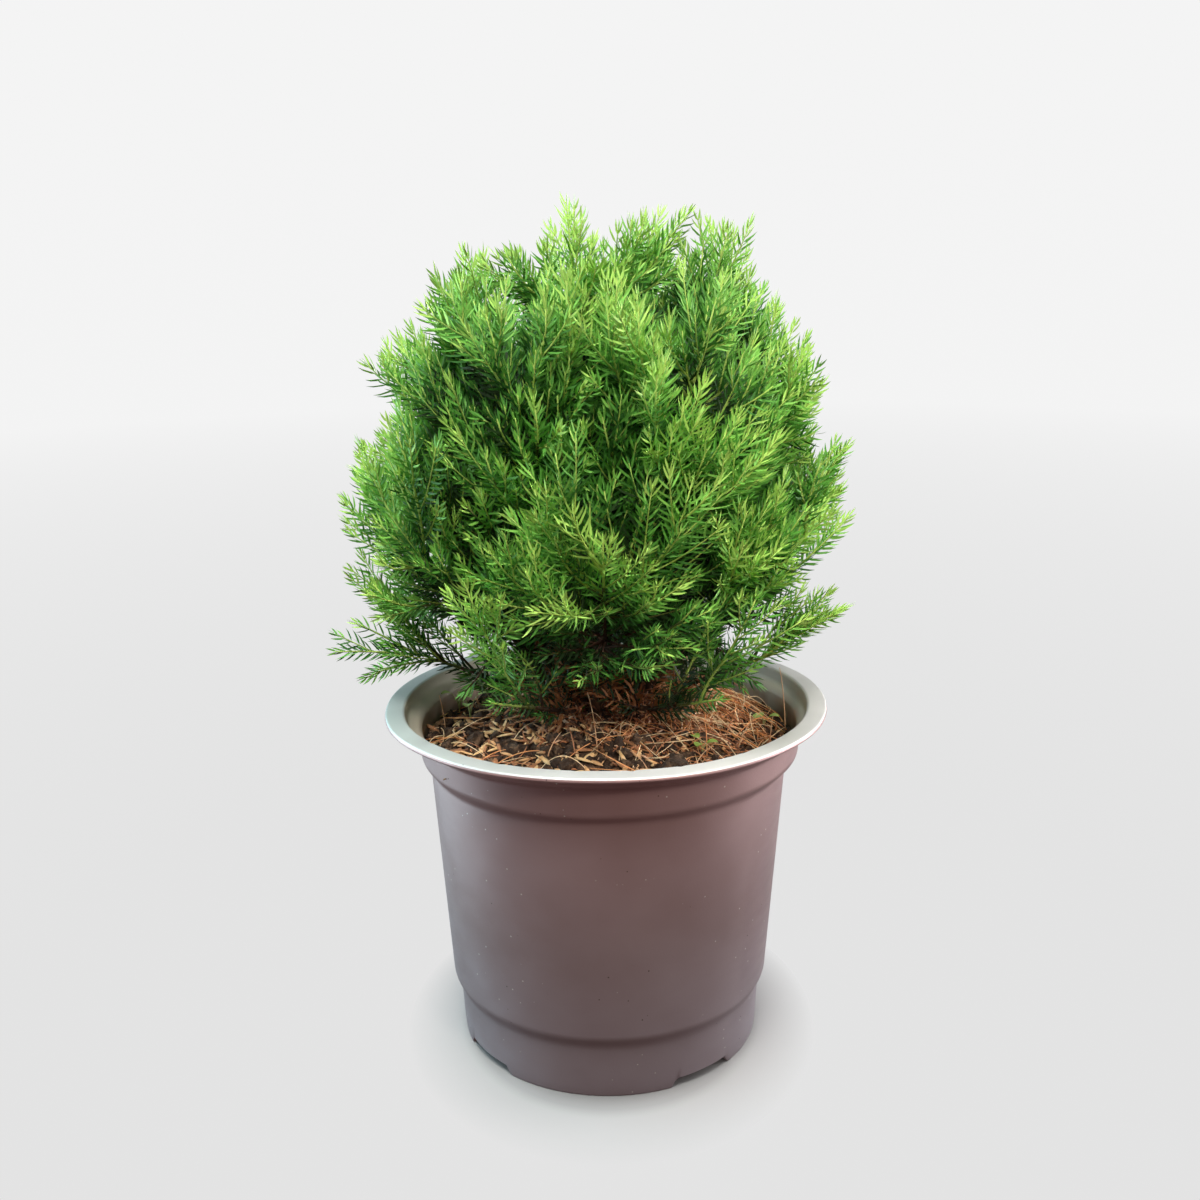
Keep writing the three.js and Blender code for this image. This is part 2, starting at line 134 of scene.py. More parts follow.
def new_finish(name, **sockets):
    """A material and its shader, with constant values on the shader's own sockets."""
    material = bpy.data.materials.new(name)
    material.use_nodes = True
    shader = material.node_tree.nodes["Principled BSDF"]
    for key, value in sockets.items():
        shader.inputs[key.replace("_", " ")].default_value = value
    return material, shader


def node(material, kind, settings=(), **inputs):
    """A node whose inputs are values or the outputs of other nodes."""
    made = material.node_tree.nodes.new("ShaderNode" + kind)
    for key, value in dict(settings).items():
        setattr(made, key, value)
    for key, value in inputs.items():
        socket = made.inputs[key.replace("_", " ")]
        if isinstance(value, bpy.types.NodeSocket):
            material.node_tree.links.new(value, socket)
        else:
            socket.default_value = value
    return made


def link(material, output, shader, name):
    """Joins a node's output to a named socket of a shader."""
    material.node_tree.links.new(output, shader.inputs[name])


def place_on(material, axis=None):
    """The place on the object in its own metres, or how far along one axis it is."""
    place = node(material, "TexCoord").outputs["Object"]
    return place if axis is None else node(material, "SeparateXYZ", Vector=place).outputs[axis]


def noise(material, scale, detail=2.0, stretch=(1, 1, 1), **inputs):
    """Noise from about 0.3 to 0.7."""
    place = node(material, "Mapping", Vector=place_on(material), Scale=stretch).outputs[0]
    made = node(material, "TexNoise", Vector=place, Scale=scale, Detail=detail, **inputs)
    return made.outputs["Fac"]


def ramp(material, value, *stops):
    """Colours at places along a value, from 0 to 1."""
    made = node(material, "ValToRGB", Fac=value)
    elements = made.color_ramp.elements
    while len(elements) < len(stops):
        elements.new(0.5)
    for element, (place, colour) in zip(elements, stops):
        element.position = place
        element.color = (*colour, 1)
    return made.outputs["Color"]


def spread(material, value, low, high, to_low=0.0, to_high=1.0):
    """A value stretched from one range to another and held at its ends."""
    sizes = {"From_Min": low, "From_Max": high, "To_Min": to_low, "To_Max": to_high}
    return node(material, "MapRange", Value=value, **sizes).outputs[0]


def blend_colours(material, share, one, other):
    one, other = ((*c, 1) if isinstance(c, tuple) else c for c in (one, other))
    return node(material, "MixRGB", Fac=share, Color1=one, Color2=other).outputs[0]


def product(material, one, other):
    made = node(material, "Math", {"operation": "MULTIPLY"})
    for socket, value in zip(made.inputs, (one, other)):
        material.node_tree.links.new(value, socket)
    return made.outputs[0]


def relief(material, shader, height, distance, strength=1.0):
    made = node(material, "Bump", Height=height, Distance=distance, Strength=strength)
    link(material, made.outputs[0], shader, "Normal")


def rounded(corners, reach, steps=4):
    """The profile with a short curve at each corner, and the corner that each point comes from."""
    points, origin = [np.array(corners[0], float)], [0]
    for i in range(1, len(corners) - 1):
        before, at, after = (np.array(corners[i + k], float) for k in (-1, 0, 1))
        for_way = [(q - at) / np.linalg.norm(q - at) for q in (before, after)]
        room = [0.42 * np.linalg.norm(q - at) for q in (before, after)]
        start, end = (at + w * min(reach, *room) for w in for_way)
        for t in np.linspace(0, 1, steps + 1):
            points.append((1 - t) ** 2 * start + 2 * t * (1 - t) * at + t * t * end)
            origin.append(i)
    return points + [np.array(corners[-1], float)], origin + [len(corners) - 1]


def round_turn(count):
    """Angles at even steps round a full turn."""
    return np.arange(count) * 2 * math.pi / count


def wrapped(rows, columns):
    """Quads round a stack of rings, and triangles to the two points that close its ends."""
    number = np.arange(rows * columns).reshape(rows, columns)
    across = np.roll(number, -1, axis=1)
    quads = np.stack([number[:-1], across[:-1], across[1:], number[1:]], axis=-1).reshape(-1, 4)
    first, last = np.full(columns, number.size), np.full(columns, number.size + 1)
    caps = [(first, across[0], number[0]), (last, number[-1], across[-1])]
    return [quads, np.concatenate([np.stack(cap, axis=-1) for cap in caps])]


def lathe(profile, segments):
    """Rings of points about Z, the two points on the axis that close them, and all their faces."""
    turn = round_turn(segments)
    profile = np.asarray(profile)
    r, z = profile[:, :1], np.repeat(profile[:, 1:], segments, axis=1)
    rings = np.stack([r * np.cos(turn), r * np.sin(turn), z], axis=-1)
    ends = np.array([[0, 0, profile[0, 1]], [0, 0, profile[-1, 1]]])
    return rings, ends, wrapped(len(profile), segments)


def ease(value, low, high):
    """From 0 to 1 between two values, levelling off at both."""
    share = np.clip((value - low) / (high - low), 0, 1)
    return share * share * (3 - 2 * share)


def angle_from(turn, degrees, period=2 * math.pi):
    """How far turns are from a place, or from the nearest of places that repeat with the period."""
    return np.abs((turn - math.radians(degrees) + period / 2) % period - period / 2)


profile, corner_of = rounded(POT_PROFILE, POT_CORNER)
for ring in GATE_RINGS:
    at = corner_of.index(GATE_CORNER + 1)
    profile.insert(at, np.array(ring))
    corner_of.insert(at, GATE_CORNER)
rings, ends, faces = lathe(profile, POT_SEGMENTS)
turn = round_turn(POT_SEGMENTS)

# The water gates: the lowest edge of the foot's wall is lifted to each gate's arch.
beside = angle_from(turn, GATE["turn"], 2 * math.pi / GATE["count"]) * FOOT_RADIUS
gate = GATE["height"] * ease(GATE["width"] / 2 - beside, 0, GATE["slope"])
foot = (rings[..., 2] < GATE_RINGS[0][1]) & (np.hypot(rings[..., 0], rings[..., 1]) > FOOT_INSIDE)
rings[..., 2] = np.where(foot, np.maximum(rings[..., 2], gate), rings[..., 2])

# Thin walls are never quite round: the collar and rim wave by a few tenths of a millimetre.
loose = np.clip((rings[..., 2] - LOOSE_FROM) / LOOSE_RISE, 0, 1)
wave = 0.28 * np.sin(2 * turn + 0.6) + 0.14 * np.sin(3 * turn + 2.0) + 0.05 * np.sin(11 * turn)
rings[..., :2] *= 1 + (loose * wave / WAVE_RADIUS)[..., None]
droop = 0.22 * np.sin(3 * turn + 1.1) + 0.1 * np.sin(7 * turn)
rings[..., 2] += np.where(rings[..., 2] > DROOP_FROM, droop, 0)


def pushed_in(rings, turn):
    """To the left the collar has been pushed in a little, and the soil behind it."""
    dent = ease(1 - angle_from(turn, DENT["turn"]) / DENT["half_width"], 0, 1)
    level = rings[..., 2]
    collar = np.clip((level - DENT["foot"]) / 10, 0, 1) * np.clip((DENT["top"] - level) / 4, 0, 1)
    rings[..., :2] *= 1 - (collar * dent * DENT["depth"] / DENT["radius"])[..., None]


pushed_in(rings, turn)
mouth = (rings[..., 2] > MOUTH_LEVEL) & (np.hypot(rings[..., 0], rings[..., 1]) < MOUTH_EDGE)
for place, depth in RIM_NICKS:
    away = angle_from(turn, place) * MOUTH_RADIUS
    rings[..., 2] -= np.where(mouth, depth * np.exp(-((away / NICK_WIDTH) ** 2)), 0)

zone = np.array(corner_of)[:-1]
zone = np.where(zone < RIM_CORNER, 0, np.where(zone < INSIDE_CORNER, 1, 2))
zones = np.concatenate([np.repeat(zone, POT_SEGMENTS), np.zeros(POT_SEGMENTS), np.full(POT_SEGMENTS, 2)])


def pot_plastic(name, dark, light, painted_light_tints, stain=None, roughness=0.42, metallic=0.4):
    """Satin plastic: faint clouds of colour, moulded grain, dust specks and fine scuffs, and painted light
    and shade along one axis.
    """
    material, shader = new_finish(name, Roughness=roughness, Metallic=metallic)
    clouds = noise(material, 22, 3)
    colour = ramp(material, clouds, (0.3, dark), (0.7, light))
    # Painted light and shade change its colour a little along one axis, as each finish below gives.
    axis, low, high, *stops = painted_light_tints
    tint = ramp(material, spread(material, place_on(material, axis), low, high), *stops)
    light_tinted = node(material, "MixRGB", {"blend_type": "MULTIPLY"}, Fac=1.0, Color1=colour, Color2=tint)
    colour = light_tinted.outputs[0]
    if stain:
        drips = spread(material, noise(material, 60, 4, stretch=(1, 1, 0.3)), 0.35, 0.65, 0.35, 0.95)
        low_down = spread(material, place_on(material, "Z"), 0.1175, 0.1225, 1.0, 0.1)
        colour = blend_colours(material, product(material, drips, low_down), colour, stain)
    for scale, size, tint in ((230, 0.075, (0.75, 0.73, 0.7)), (170, 0.055, (0.03, 0.025, 0.022))):
        cells = node(material, "TexVoronoi", Vector=place_on(material), Scale=scale, Randomness=1.0)
        speck = spread(material, cells.outputs["Distance"], size * 0.7, size, 0.75, 0.0)
        few = spread(material, noise(material, 35, 1), 0.5, 0.56)
        colour = blend_colours(material, product(material, speck, few), colour, tint)
    link(material, colour, shader, "Base Color")
    scuffs = noise(material, 90, 5, stretch=(1, 1, 3))
    rough = spread(material, scuffs, 0.3, 0.7, roughness - 0.03, roughness + 0.06)
    link(material, rough, shader, "Roughness")
    relief(material, shader, noise(material, 1500, 3), 0.00006, 0.5)
    return material


pot_finishes = [
    pot_plastic(
        "pot_plastic",
        (0.3, 0.237, 0.24),
        (0.375, 0.318, 0.33),
        # Painted reflection and light up the body: bluish at the foot, a little darker midway, and a
        # lighter warm reddish glow at the collar.
        ("Z", 0, 0.125, (0, (0.92, 0.99, 1.06)), (0.45, (0.9, 0.85, 0.86)), (1, (1.13, 0.88, 0.86))),
        metallic=0.52,
    ),
    pot_plastic(
        # The rim's top is the pot's own plastic made much lighter: painted light where it faces the lamp
        # above.
        "pot_rim_plastic_lit",
        (0.6, 0.605, 0.6),
        (0.8, 0.8, 0.79),
        # Painted shade on the rim to the left, darker and cooler there.
        ("X", -0.08, 0.08, (0, (0.56, 0.65, 0.64)), (0.35, (1.02, 1.02, 1.02)), (1, (1.08, 1.06, 1.04))),
    ),
    pot_plastic(
        "pot_inside_plastic",
        (0.54, 0.51, 0.46),
        (0.66, 0.64, 0.59),
        # Painted shade on the inside wall to the left, darker and yellower there.
        ("X", -0.07, 0.07, (0, (0.7, 0.69, 0.6)), (0.5, (0.9, 0.88, 0.84)), (1, (1, 1, 1))),
        (0.34, 0.21, 0.14),
        roughness=0.58,
        metallic=0.15,
    ),
]
points = np.concatenate([rings.reshape(-1, 3), ends])
pot = add_piece("nursery_pot", points, faces, pot_finishes, zones)


def cut_drains(piece):
    """Six round holes through the raised floor."""
    cutters = []
    for a in round_turn(DRAIN["count"]):
        place = (DRAIN["circle"] * MM * math.cos(a), DRAIN["circle"] * MM * math.sin(a), 0)
        bpy.ops.mesh.primitive_cylinder_add(
            vertices=32, radius=DRAIN["radius"] * MM, depth=DRAIN["depth"] * MM, location=place
        )
        cutters.append(bpy.context.object)
        cut = piece.modifiers.new("drain", "BOOLEAN")
        cut.operation, cut.solver, cut.object = "DIFFERENCE", "EXACT", cutters[-1]
    seen = piece.evaluated_get(bpy.context.evaluated_depsgraph_get())
    piece.data = bpy.data.meshes.new_from_object(seen)
    piece.modifiers.clear()
    for cutter in cutters:
        bpy.data.objects.remove(cutter)


cut_drains(pot)
pot.data.set_sharp_from_angle(angle=math.radians(38))
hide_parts("pot")

# ---- Soil ----
# Dark potting mix that fills the pot to a low mound round the stems. It is a crumbly body with loose clods,
# wood chips, pale rice husks and, heaped to the right, orange coir fibre.
SOIL_EDGE, SOIL_PLATEAU, SOIL_PLATEAU_RADIUS = 113.5, 124, 26
MOUND = {"height": 3.5, "x": 42, "y": 12, "breadth": 400}  # the heap behind, to the right
SOIL_RADIUS, STREWN_RADIUS = 68.4, 66.5
SOIL_SEGMENTS, SOIL_RINGS = 220, 96
SOIL_SIDE = [(68.5, 111.4), (64.1, 107.4), (57.8, 24.8), (55.4, 20.8), (54.2, 5.8)]


def lumps(points, size, seed):
    """Smooth noise from -1 to 1: a random value at each corner of a grid, eased between them."""
    at = np.asarray(points) / size
    cell = np.floor(at).astype(np.int64)
    part = at - cell
    part = part * part * (3 - 2 * part)
    total = np.zeros(at.shape[:-1])
    for corner in np.ndindex(2, 2, 2):
        x, y, z = np.moveaxis(cell + corner, -1, 0)
        mixed = (x * 73856093 ^ y * 19349663 ^ z * 83492791 ^ seed * 50331653) & 0xFFFFFFFF
        mixed = ((mixed ^ (mixed >> 15)) * 2246822519) & 0xFFFFFFFF
        mixed = ((mixed ^ (mixed >> 13)) * 3266489917) & 0xFFFFFFFF
        value = ((mixed ^ (mixed >> 16)) & 0xFFFF) / 32767.5 - 1
        total += value * np.prod(np.where(corner, part, 1 - part), axis=-1)
    return total


def soil_height(x, y):
    """The mound's own shape, without its crumbs."""
    r = np.hypot(x, y)
    down = ease(r, SOIL_PLATEAU_RADIUS, 68.8)
    far = (x - MOUND["x"]) ** 2 + (y - MOUND["y"]) ** 2
    mound = MOUND["height"] * np.exp(-far / MOUND["breadth"])
    clear = ease(r, SOIL_PLATEAU_RADIUS + 1, SOIL_PLATEAU_RADIUS + 10)
    return SOIL_PLATEAU - (SOIL_PLATEAU - SOIL_EDGE) * down + mound * clear


def crumbly_height(x, y):
    """The mound with crumbs of three sizes."""
    flat = np.stack([x, y, np.zeros_like(x)], axis=-1)
    crumbs = 1.1 * lumps(flat, 9, 1) + 0.75 * lumps(flat, 3.6, 2) + 0.45 * lumps(flat, 1.5, 3)
    return soil_height(x, y) + crumbs - 0.5


radii = SOIL_RADIUS * np.linspace(0, 1, SOIL_RINGS + 1)[1:][::-1]
side = SOIL_SIDE[::-1] + [(r, POT_HEIGHT) for r in radii]
rings, ends, faces = lathe(side, SOIL_SEGMENTS)
top = rings[len(SOIL_SIDE):]
top[..., 2] = crumbly_height(top[..., 0], top[..., 1])
pushed_in(rings, round_turn(SOIL_SEGMENTS))
ends[1, 2] = crumbly_height(np.zeros(1), np.zeros(1))[0]

soil_mix, shader = new_finish("soil_mix", Roughness=0.95)
shades = ramp(
    soil_mix,
    noise(soil_mix, 320, 6, Roughness=0.7),
    (0.3, (0.012, 0.007, 0.005)),
    (0.5, (0.05, 0.028, 0.017)),
    (0.68, (0.22, 0.13, 0.075)),
)
link(soil_mix, shades, shader, "Base Color")
relief(soil_mix, shader, noise(soil_mix, 1300, 5), 0.0006)
points = np.concatenate([rings.reshape(-1, 3), ends])
soil = add_piece("soil_body", points, faces, [soil_mix])
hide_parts("soil")

# Loose bits on the soil. Each kind is one shape, strewn at its own size, turn and tilt.


def turned_at_random(rng, count, tilt):
    """Rotations: any turn about Z after a small random tilt."""
    spin = rng.uniform(0, 2 * math.pi, count)
    lean = rng.normal(0, tilt, count)
    about = rng.uniform(0, 2 * math.pi, count)

    def about_z(a):
        c, s, o, i = np.cos(a), np.sin(a), np.zeros_like(a), np.ones_like(a)
        return np.stack([c, -s, o, s, c, o, o, o, i], axis=-1).reshape(-1, 3, 3)

    c, s, o, i = np.cos(lean), np.sin(lean), np.zeros(count), np.ones(count)
    about_x = np.stack([i, o, o, o, c, -s, o, s, c], axis=-1).reshape(-1, 3, 3)
    return about_z(about) @ about_x @ about_z(spin)


def strewn(rng, *heaps):
    """Places on the soil. A heap is a count, all over the soil, or a count, a middle and a breadth."""
    places = []
    for count, *middle_and_breadth in heaps:
        if middle_and_breadth:
            middle, breadth = middle_and_breadth
            x, y = (rng.normal(m, breadth, count) for m in middle)
        else:
            r = STREWN_RADIUS * np.sqrt(rng.uniform(0, 1, count))
            a = rng.uniform(0, 2 * math.pi, count)
            x, y = r * np.cos(a), r * np.sin(a)
        kept = np.hypot(x, y) < STREWN_RADIUS
        places.append((x[kept], y[kept]))
    return (np.concatenate(axis) for axis in zip(*places))


def drawn(rng, count, *ranges):
    """Sizes along each axis, drawn from their ranges."""
    return np.stack([rng.uniform(low, high, count) for low, high in ranges], axis=-1)


def copies(shape, faces, x, y, sizes, turns, lift, uneven=0.0, rng=None):
    """Many copies of one small shape, resting on the soil."""
    points = shape[None] * sizes[:, None, :]
    if uneven:
        points = points * (1 + rng.uniform(-uneven, uneven, (len(x), len(shape), 1)))
    points = np.einsum("nij,nvj->nvi", turns, points)
    place = np.stack([x, y, crumbly_height(x, y) + lift], axis=-1)
    points = points + place[:, None]
    numbers = faces[None] + (np.arange(len(x)) * len(shape))[:, None, None]
    return points.reshape(-1, 3), numbers.reshape(-1, 3)


def ball_shape(rows, columns):
    """A closed unit ball of triangles."""
    fall = np.linspace(0, math.pi, rows + 1)[1:-1]
    points = [[0, 0, 1]]
    for f in fall:
        for t in round_turn(columns):
            points.append([math.sin(f) * math.cos(t), math.sin(f) * math.sin(t), math.cos(f)])
    points.append([0, 0, -1])
    faces = []
    for j in range(columns):
        k = (j + 1) % columns
        faces.append((0, 1 + j, 1 + k))
        for i in range(rows - 2):
            a, b = 1 + i * columns, 1 + (i + 1) * columns
            faces += [(a + j, b + j, b + k), (a + j, b + k, a + k)]
        a = 1 + (rows - 2) * columns
        faces.append((a + j, len(points) - 1, a + k))
    return np.array(points, float), np.array(faces)


def dry_finish(name, dark, light, scale, roughness=0.85):
    """Dry plant matter, mottled from dark to light."""
    material, shader = new_finish(name, Roughness=roughness)
    shades = ramp(material, noise(material, scale, 4), (0.3, dark), (0.7, light))
    link(material, shades, shader, "Base Color")
    relief(material, shader, noise(material, scale * 4, 3), 0.0002)
    return material


rng = np.random.RandomState(11)
clod, clod_faces = ball_shape(5, 7)
x, y = strewn(rng, (1500,))
size = np.minimum(rng.gamma(3.0, 0.42, len(x)), (SOIL_RADIUS - np.hypot(x, y)) / 1.7)[:, None]
size = size * rng.uniform(0.7, 1.25, (len(x), 3))
turns = turned_at_random(rng, len(x), 0.8)
points, faces = copies(clod, clod_faces, x, y, size, turns, 0.25, 0.28, rng)
add_piece("soil_clods", points, faces, [soil_mix], smooth=False)

chip, chip_faces = ball_shape(3, 5)
x, y = strewn(rng, (620,))
size = drawn(rng, len(x), (1.2, 3.6), (0.5, 1.2), (0.2, 0.5))
points, faces = copies(chip, chip_faces, x, y, size, turned_at_random(rng, len(x), 0.3), 0.5, 0.3, rng)
wood = dry_finish("wood_chips", (0.07, 0.035, 0.018), (0.36, 0.2, 0.1), 400)
add_piece("wood_chips", points, faces, [wood], smooth=False)


def husk_shape(stations=9, around=6):
    """A rice husk: a slim boat with pointed ends, keeled and a little bent."""
    along = np.linspace(-1, 1, stations)
    points, faces = [], []
    for i, s in enumerate(along):
        full = max(0.06, (1 - abs(s) ** 2.2)) ** 0.7
        for j in range(around):
            a = j * 2 * math.pi / around
            ridge = 1.25 if j % 3 == 0 else 1.0
            points.append((s, full * math.cos(a), full * math.sin(a) * ridge + 0.5 * (1 - s * s)))
    for i in range(stations - 1):
        for j in range(around):
            a, b = i * around + j, i * around + (j + 1) % around
            faces += [(a, b, b + around), (a, b + around, a + around)]
    for first in (0, (stations - 1) * around):
        for j in range(1, around - 1):
            pair = (first + j + 1, first + j) if first == 0 else (first + j, first + j + 1)
            faces.append((first, *pair))
    return np.array(points), np.array(faces)


husk, husk_faces = husk_shape()
x, y = strewn(rng, (170,), (150, (-12, -40), 18), (70, (-42, -18), 14), (60, (4, 40), 15))
size = drawn(rng, len(x), (2.5, 4.4), (0.6, 1.05), (0.3, 0.55))
tones = np.repeat(rng.randint(0, 3, len(x)), len(husk_faces))
points, faces = copies(husk, husk_faces, x, y, size, turned_at_random(rng, len(x), 0.5), 1.0)
husk_finishes = [
    dry_finish("husk_straw", (0.75, 0.44, 0.19), (1.0, 0.72, 0.38), 900, 0.6),
    dry_finish("husk_tan", (0.5, 0.26, 0.11), (0.8, 0.48, 0.23), 900, 0.6),
    dry_finish("husk_brown", (0.28, 0.12, 0.055), (0.5, 0.24, 0.11), 900, 0.7),
]
add_piece("rice_husks", points, faces, husk_finishes, tones)


def tubes(paths, radii, sides):
    """Thin round threads along rows of points, closed at both ends."""
    count, stations = paths.shape[:2]
    ahead = np.gradient(paths, axis=1)
    ahead /= np.linalg.norm(ahead, axis=-1, keepdims=True) + 1e-12
    whole = paths[:, -1] - paths[:, 0]
    odd = np.eye(3)[np.argmin(np.abs(whole), axis=-1)][:, None]
    side = np.cross(ahead, odd)
    side /= np.linalg.norm(side, axis=-1, keepdims=True) + 1e-12
    over = np.cross(ahead, side)
    turn = round_turn(sides)
    ring = np.cos(turn)[:, None] * side[:, :, None] + np.sin(turn)[:, None] * over[:, :, None]
    points = paths[:, :, None] + radii[:, :, None, None] * ring
    j = np.arange(sides)
    k = (j + 1) % sides
    i = np.arange(stations - 1)[:, None] * sides
    one = np.stack([i + j, i + k, i + k + sides], axis=-1).reshape(-1, 3)
    two = np.stack([i + j, i + k + sides, i + j + sides], axis=-1).reshape(-1, 3)
    inner = np.arange(1, sides - 1)
    start = np.stack([0 * inner, inner + 1, inner], axis=-1)
    end = np.stack([0 * inner, inner, inner + 1], axis=-1) + (stations - 1) * sides
    each = np.concatenate([one, two, start, end])
    numbers = each[None] + (np.arange(count) * stations * sides)[:, None, None]
    return points.reshape(-1, 3), numbers.reshape(-1, 3), len(each)


def bezier(root, knee, tip, t):
    """Points of quadratic curves, one row of places for each curve."""
    t = t[..., None]
    return (1 - t) ** 2 * root[:, None] + 2 * t * (1 - t) * knee[:, None] + t * t * tip[:, None]


def fibres(rng, x, y, low, high, rise, thick):
    """Bent threads that lie over the crumbs, some of them springing up."""
    count = len(x)
    turn = rng.uniform(0, 2 * math.pi, count)
    reach = rng.uniform(low, high, count)
    ends = []
    for sign in (-1, 1):
        ex = x + sign * 0.5 * reach * np.cos(turn)
        ey = y + sign * 0.5 * reach * np.sin(turn)
        far = np.maximum(np.hypot(ex, ey) / STREWN_RADIUS, 1)
        ends.append(np.stack([ex / far, ey / far], axis=-1))
    bend = np.stack([-np.sin(turn), np.cos(turn)], axis=-1) * (rng.normal(0, 0.3, count) * reach)[:, None]
    knee = (ends[0] + ends[1]) / 2 + bend
    t = np.tile(np.linspace(0, 1, 11), (count, 1))
    flat = bezier(ends[0], knee, ends[1], t)
    far = np.maximum(np.linalg.norm(flat, axis=-1, keepdims=True) / 67, 1)
    flat = flat / far
    arch = np.abs(rng.normal(0, rise, count))[:, None] * 4 * t * (1 - t)
    up = arch + rng.uniform(0.2, 1.1, count)[:, None]
    level = soil_height(flat[..., 0], flat[..., 1]) + up
    paths = np.concatenate([flat, level[..., None]], axis=-1)
    radii = thick * rng.uniform(0.6, 1.2, count)[:, None] * (1 - 0.75 * t**3)
    return tubes(paths, radii, 4)


x, y = strewn(rng, (300, (38, 2), 13), (110, (24, -24), 14), (110,))
points, faces, each = fibres(rng, x, y, 9, 34, 2.2, 0.2)
tones = np.repeat(rng.randint(0, 3, len(x)), each)
coir_finishes = [
    dry_finish("coir_orange", (0.8, 0.3, 0.1), (1.0, 0.52, 0.22), 300, 0.7),
    dry_finish("coir_straw", (0.9, 0.6, 0.32), (1.0, 0.84, 0.56), 300, 0.65),
    dry_finish("coir_brown", (0.36, 0.13, 0.06), (0.6, 0.26, 0.12), 300, 0.8),
]
add_piece("coir_fibre", points, faces, coir_finishes, tones)

# ---- Stems ----
# A woody trunk and six main stems rise from the soil, and low and upper boughs leave the trunk. The bark is
# thin, reddish brown and finely furrowed, flaring at the soil, and turns green-brown higher up.
FAN = np.array([0, 0, 121.0])  # the point from which the masses of foliage fan out
CROWN_CENTRE = np.array([-1, 0, 200.0])
CROWN_RADII = np.array([92, 90, 102.0])
TIERS = [  # name, elevation, turn, share of its reach at which each mass starts, reaches
    ("low", 20, 0, 0.4, (0.95, 1.0, 0.98, 1.04, 0.97, 1.0)),
    ("middle", 44, 30, 0.42, (1.0, 0.97, 0.99, 0.96, 1.0, 0.98)),
    ("upper", 68, 18, 0.42, (1.02, 0.98, 0.97, 0.98, 1.01)),
]
TRUNK_PATH = np.array(
    [(-4, 2, 123.6), (-5, 2.5, 132), (-8, 3, 160), (-9.5, 2, 200), (-8, 1, 236), (-8, 0, 262.0)]
)
TRUNK_RADII = np.array([6.6, 4.4, 3.6, 2.9, 2.1, 1.3])
STEM_FOOT_CIRCLE = 14
LIMBS = {  # for each tier: kind, height of its root on the trunk, radii at root and tip, flare at the soil
    "low": ("low_bough", 133, (1.8, 1.1), 0.0),
    "middle": ("main_stem", None, (2.7, 1.2), 0.35),
    "upper": ("upper_bough", 168, (1.5, 1.0), 0.0),
}
BARK_RING = 1.1  # length of limb between rings of points


def unit(v):
    """Vectors brought to length 1."""
    return v / (np.linalg.norm(v, axis=-1, keepdims=True) + 1e-12)


def crown_reach(direction):
    """Distance from the fan point to the crown's ellipsoid."""
    start = (FAN - CROWN_CENTRE) / CROWN_RADII
    along = direction / CROWN_RADII
    a, b, c = along @ along, start @ along, start @ start - 1
    return (math.sqrt(b * b - a * c) - b) / a


masses = []
for tier, elevation, tier_turn, begins, reaches in TIERS:
    for i, reach in enumerate(reaches):
        azimuth = math.radians(tier_turn + i * 360 / len(reaches))
        rise = math.radians(elevation)
        level = math.cos(rise)
        way = np.array([math.cos(azimuth) * level, math.sin(azimuth) * level, math.sin(rise)])
        length = crown_reach(way) * reach
        masses.append({"tier": tier, "name": f"{tier}_{i + 1}", "direction": way, "length": length})
        masses[-1]["start"] = length * begins
to_top = TRUNK_PATH[-1] - FAN
way = unit(to_top)
masses.append({"tier": "top", "name": "top", "direction": way, "length": crown_reach(way)})
masses[-1]["start"] = np.linalg.norm(to_top)
for mass in masses:
    mass["foot"] = FAN + mass["direction"] * mass["start"]


def through(points, radii, step):
    """A smooth path through points that thins as its radii say."""
    ends = np.concatenate([[2 * points[0] - points[1]], points, [2 * points[-1] - points[-2]]])
    path, sizes = [], []
    for i in range(len(points) - 1):
        p0, p1, p2, p3 = ends[i: i + 4]
        count = max(2, int(np.linalg.norm(p2 - p1) / step))
        for t in np.arange(count + (i == len(points) - 2)) / count:
            path.append(
                0.5 * (2 * p1 + (p2 - p0) * t + (2 * p0 - 5 * p1 + 4 * p2 - p3) * t**2)
                + 0.5 * (3 * p1 - p0 - 3 * p2 + p3) * t**3
            )
            sizes.append(radii[i] + (radii[i + 1] - radii[i]) * t)
    return np.array(path), np.array(sizes)


bark, shader = new_finish("bark", Roughness=0.85)
furrows = noise(bark, 520, 5, stretch=(1, 1, 0.22))
brown = (0.3, (0.02, 0.011, 0.007)), (0.5, (0.075, 0.036, 0.02)), (0.7, (0.2, 0.1, 0.055))
green_brown = (0.3, (0.06, 0.045, 0.015)), (0.7, (0.2, 0.19, 0.05))
high_up = spread(bark, place_on(bark, "Z"), 0.15, 0.24)
colour = blend_colours(bark, high_up, ramp(bark, furrows, *brown), ramp(bark, furrows, *green_brown))
link(bark, colour, shader, "Base Color")
relief(bark, shader, furrows, 0.0008)


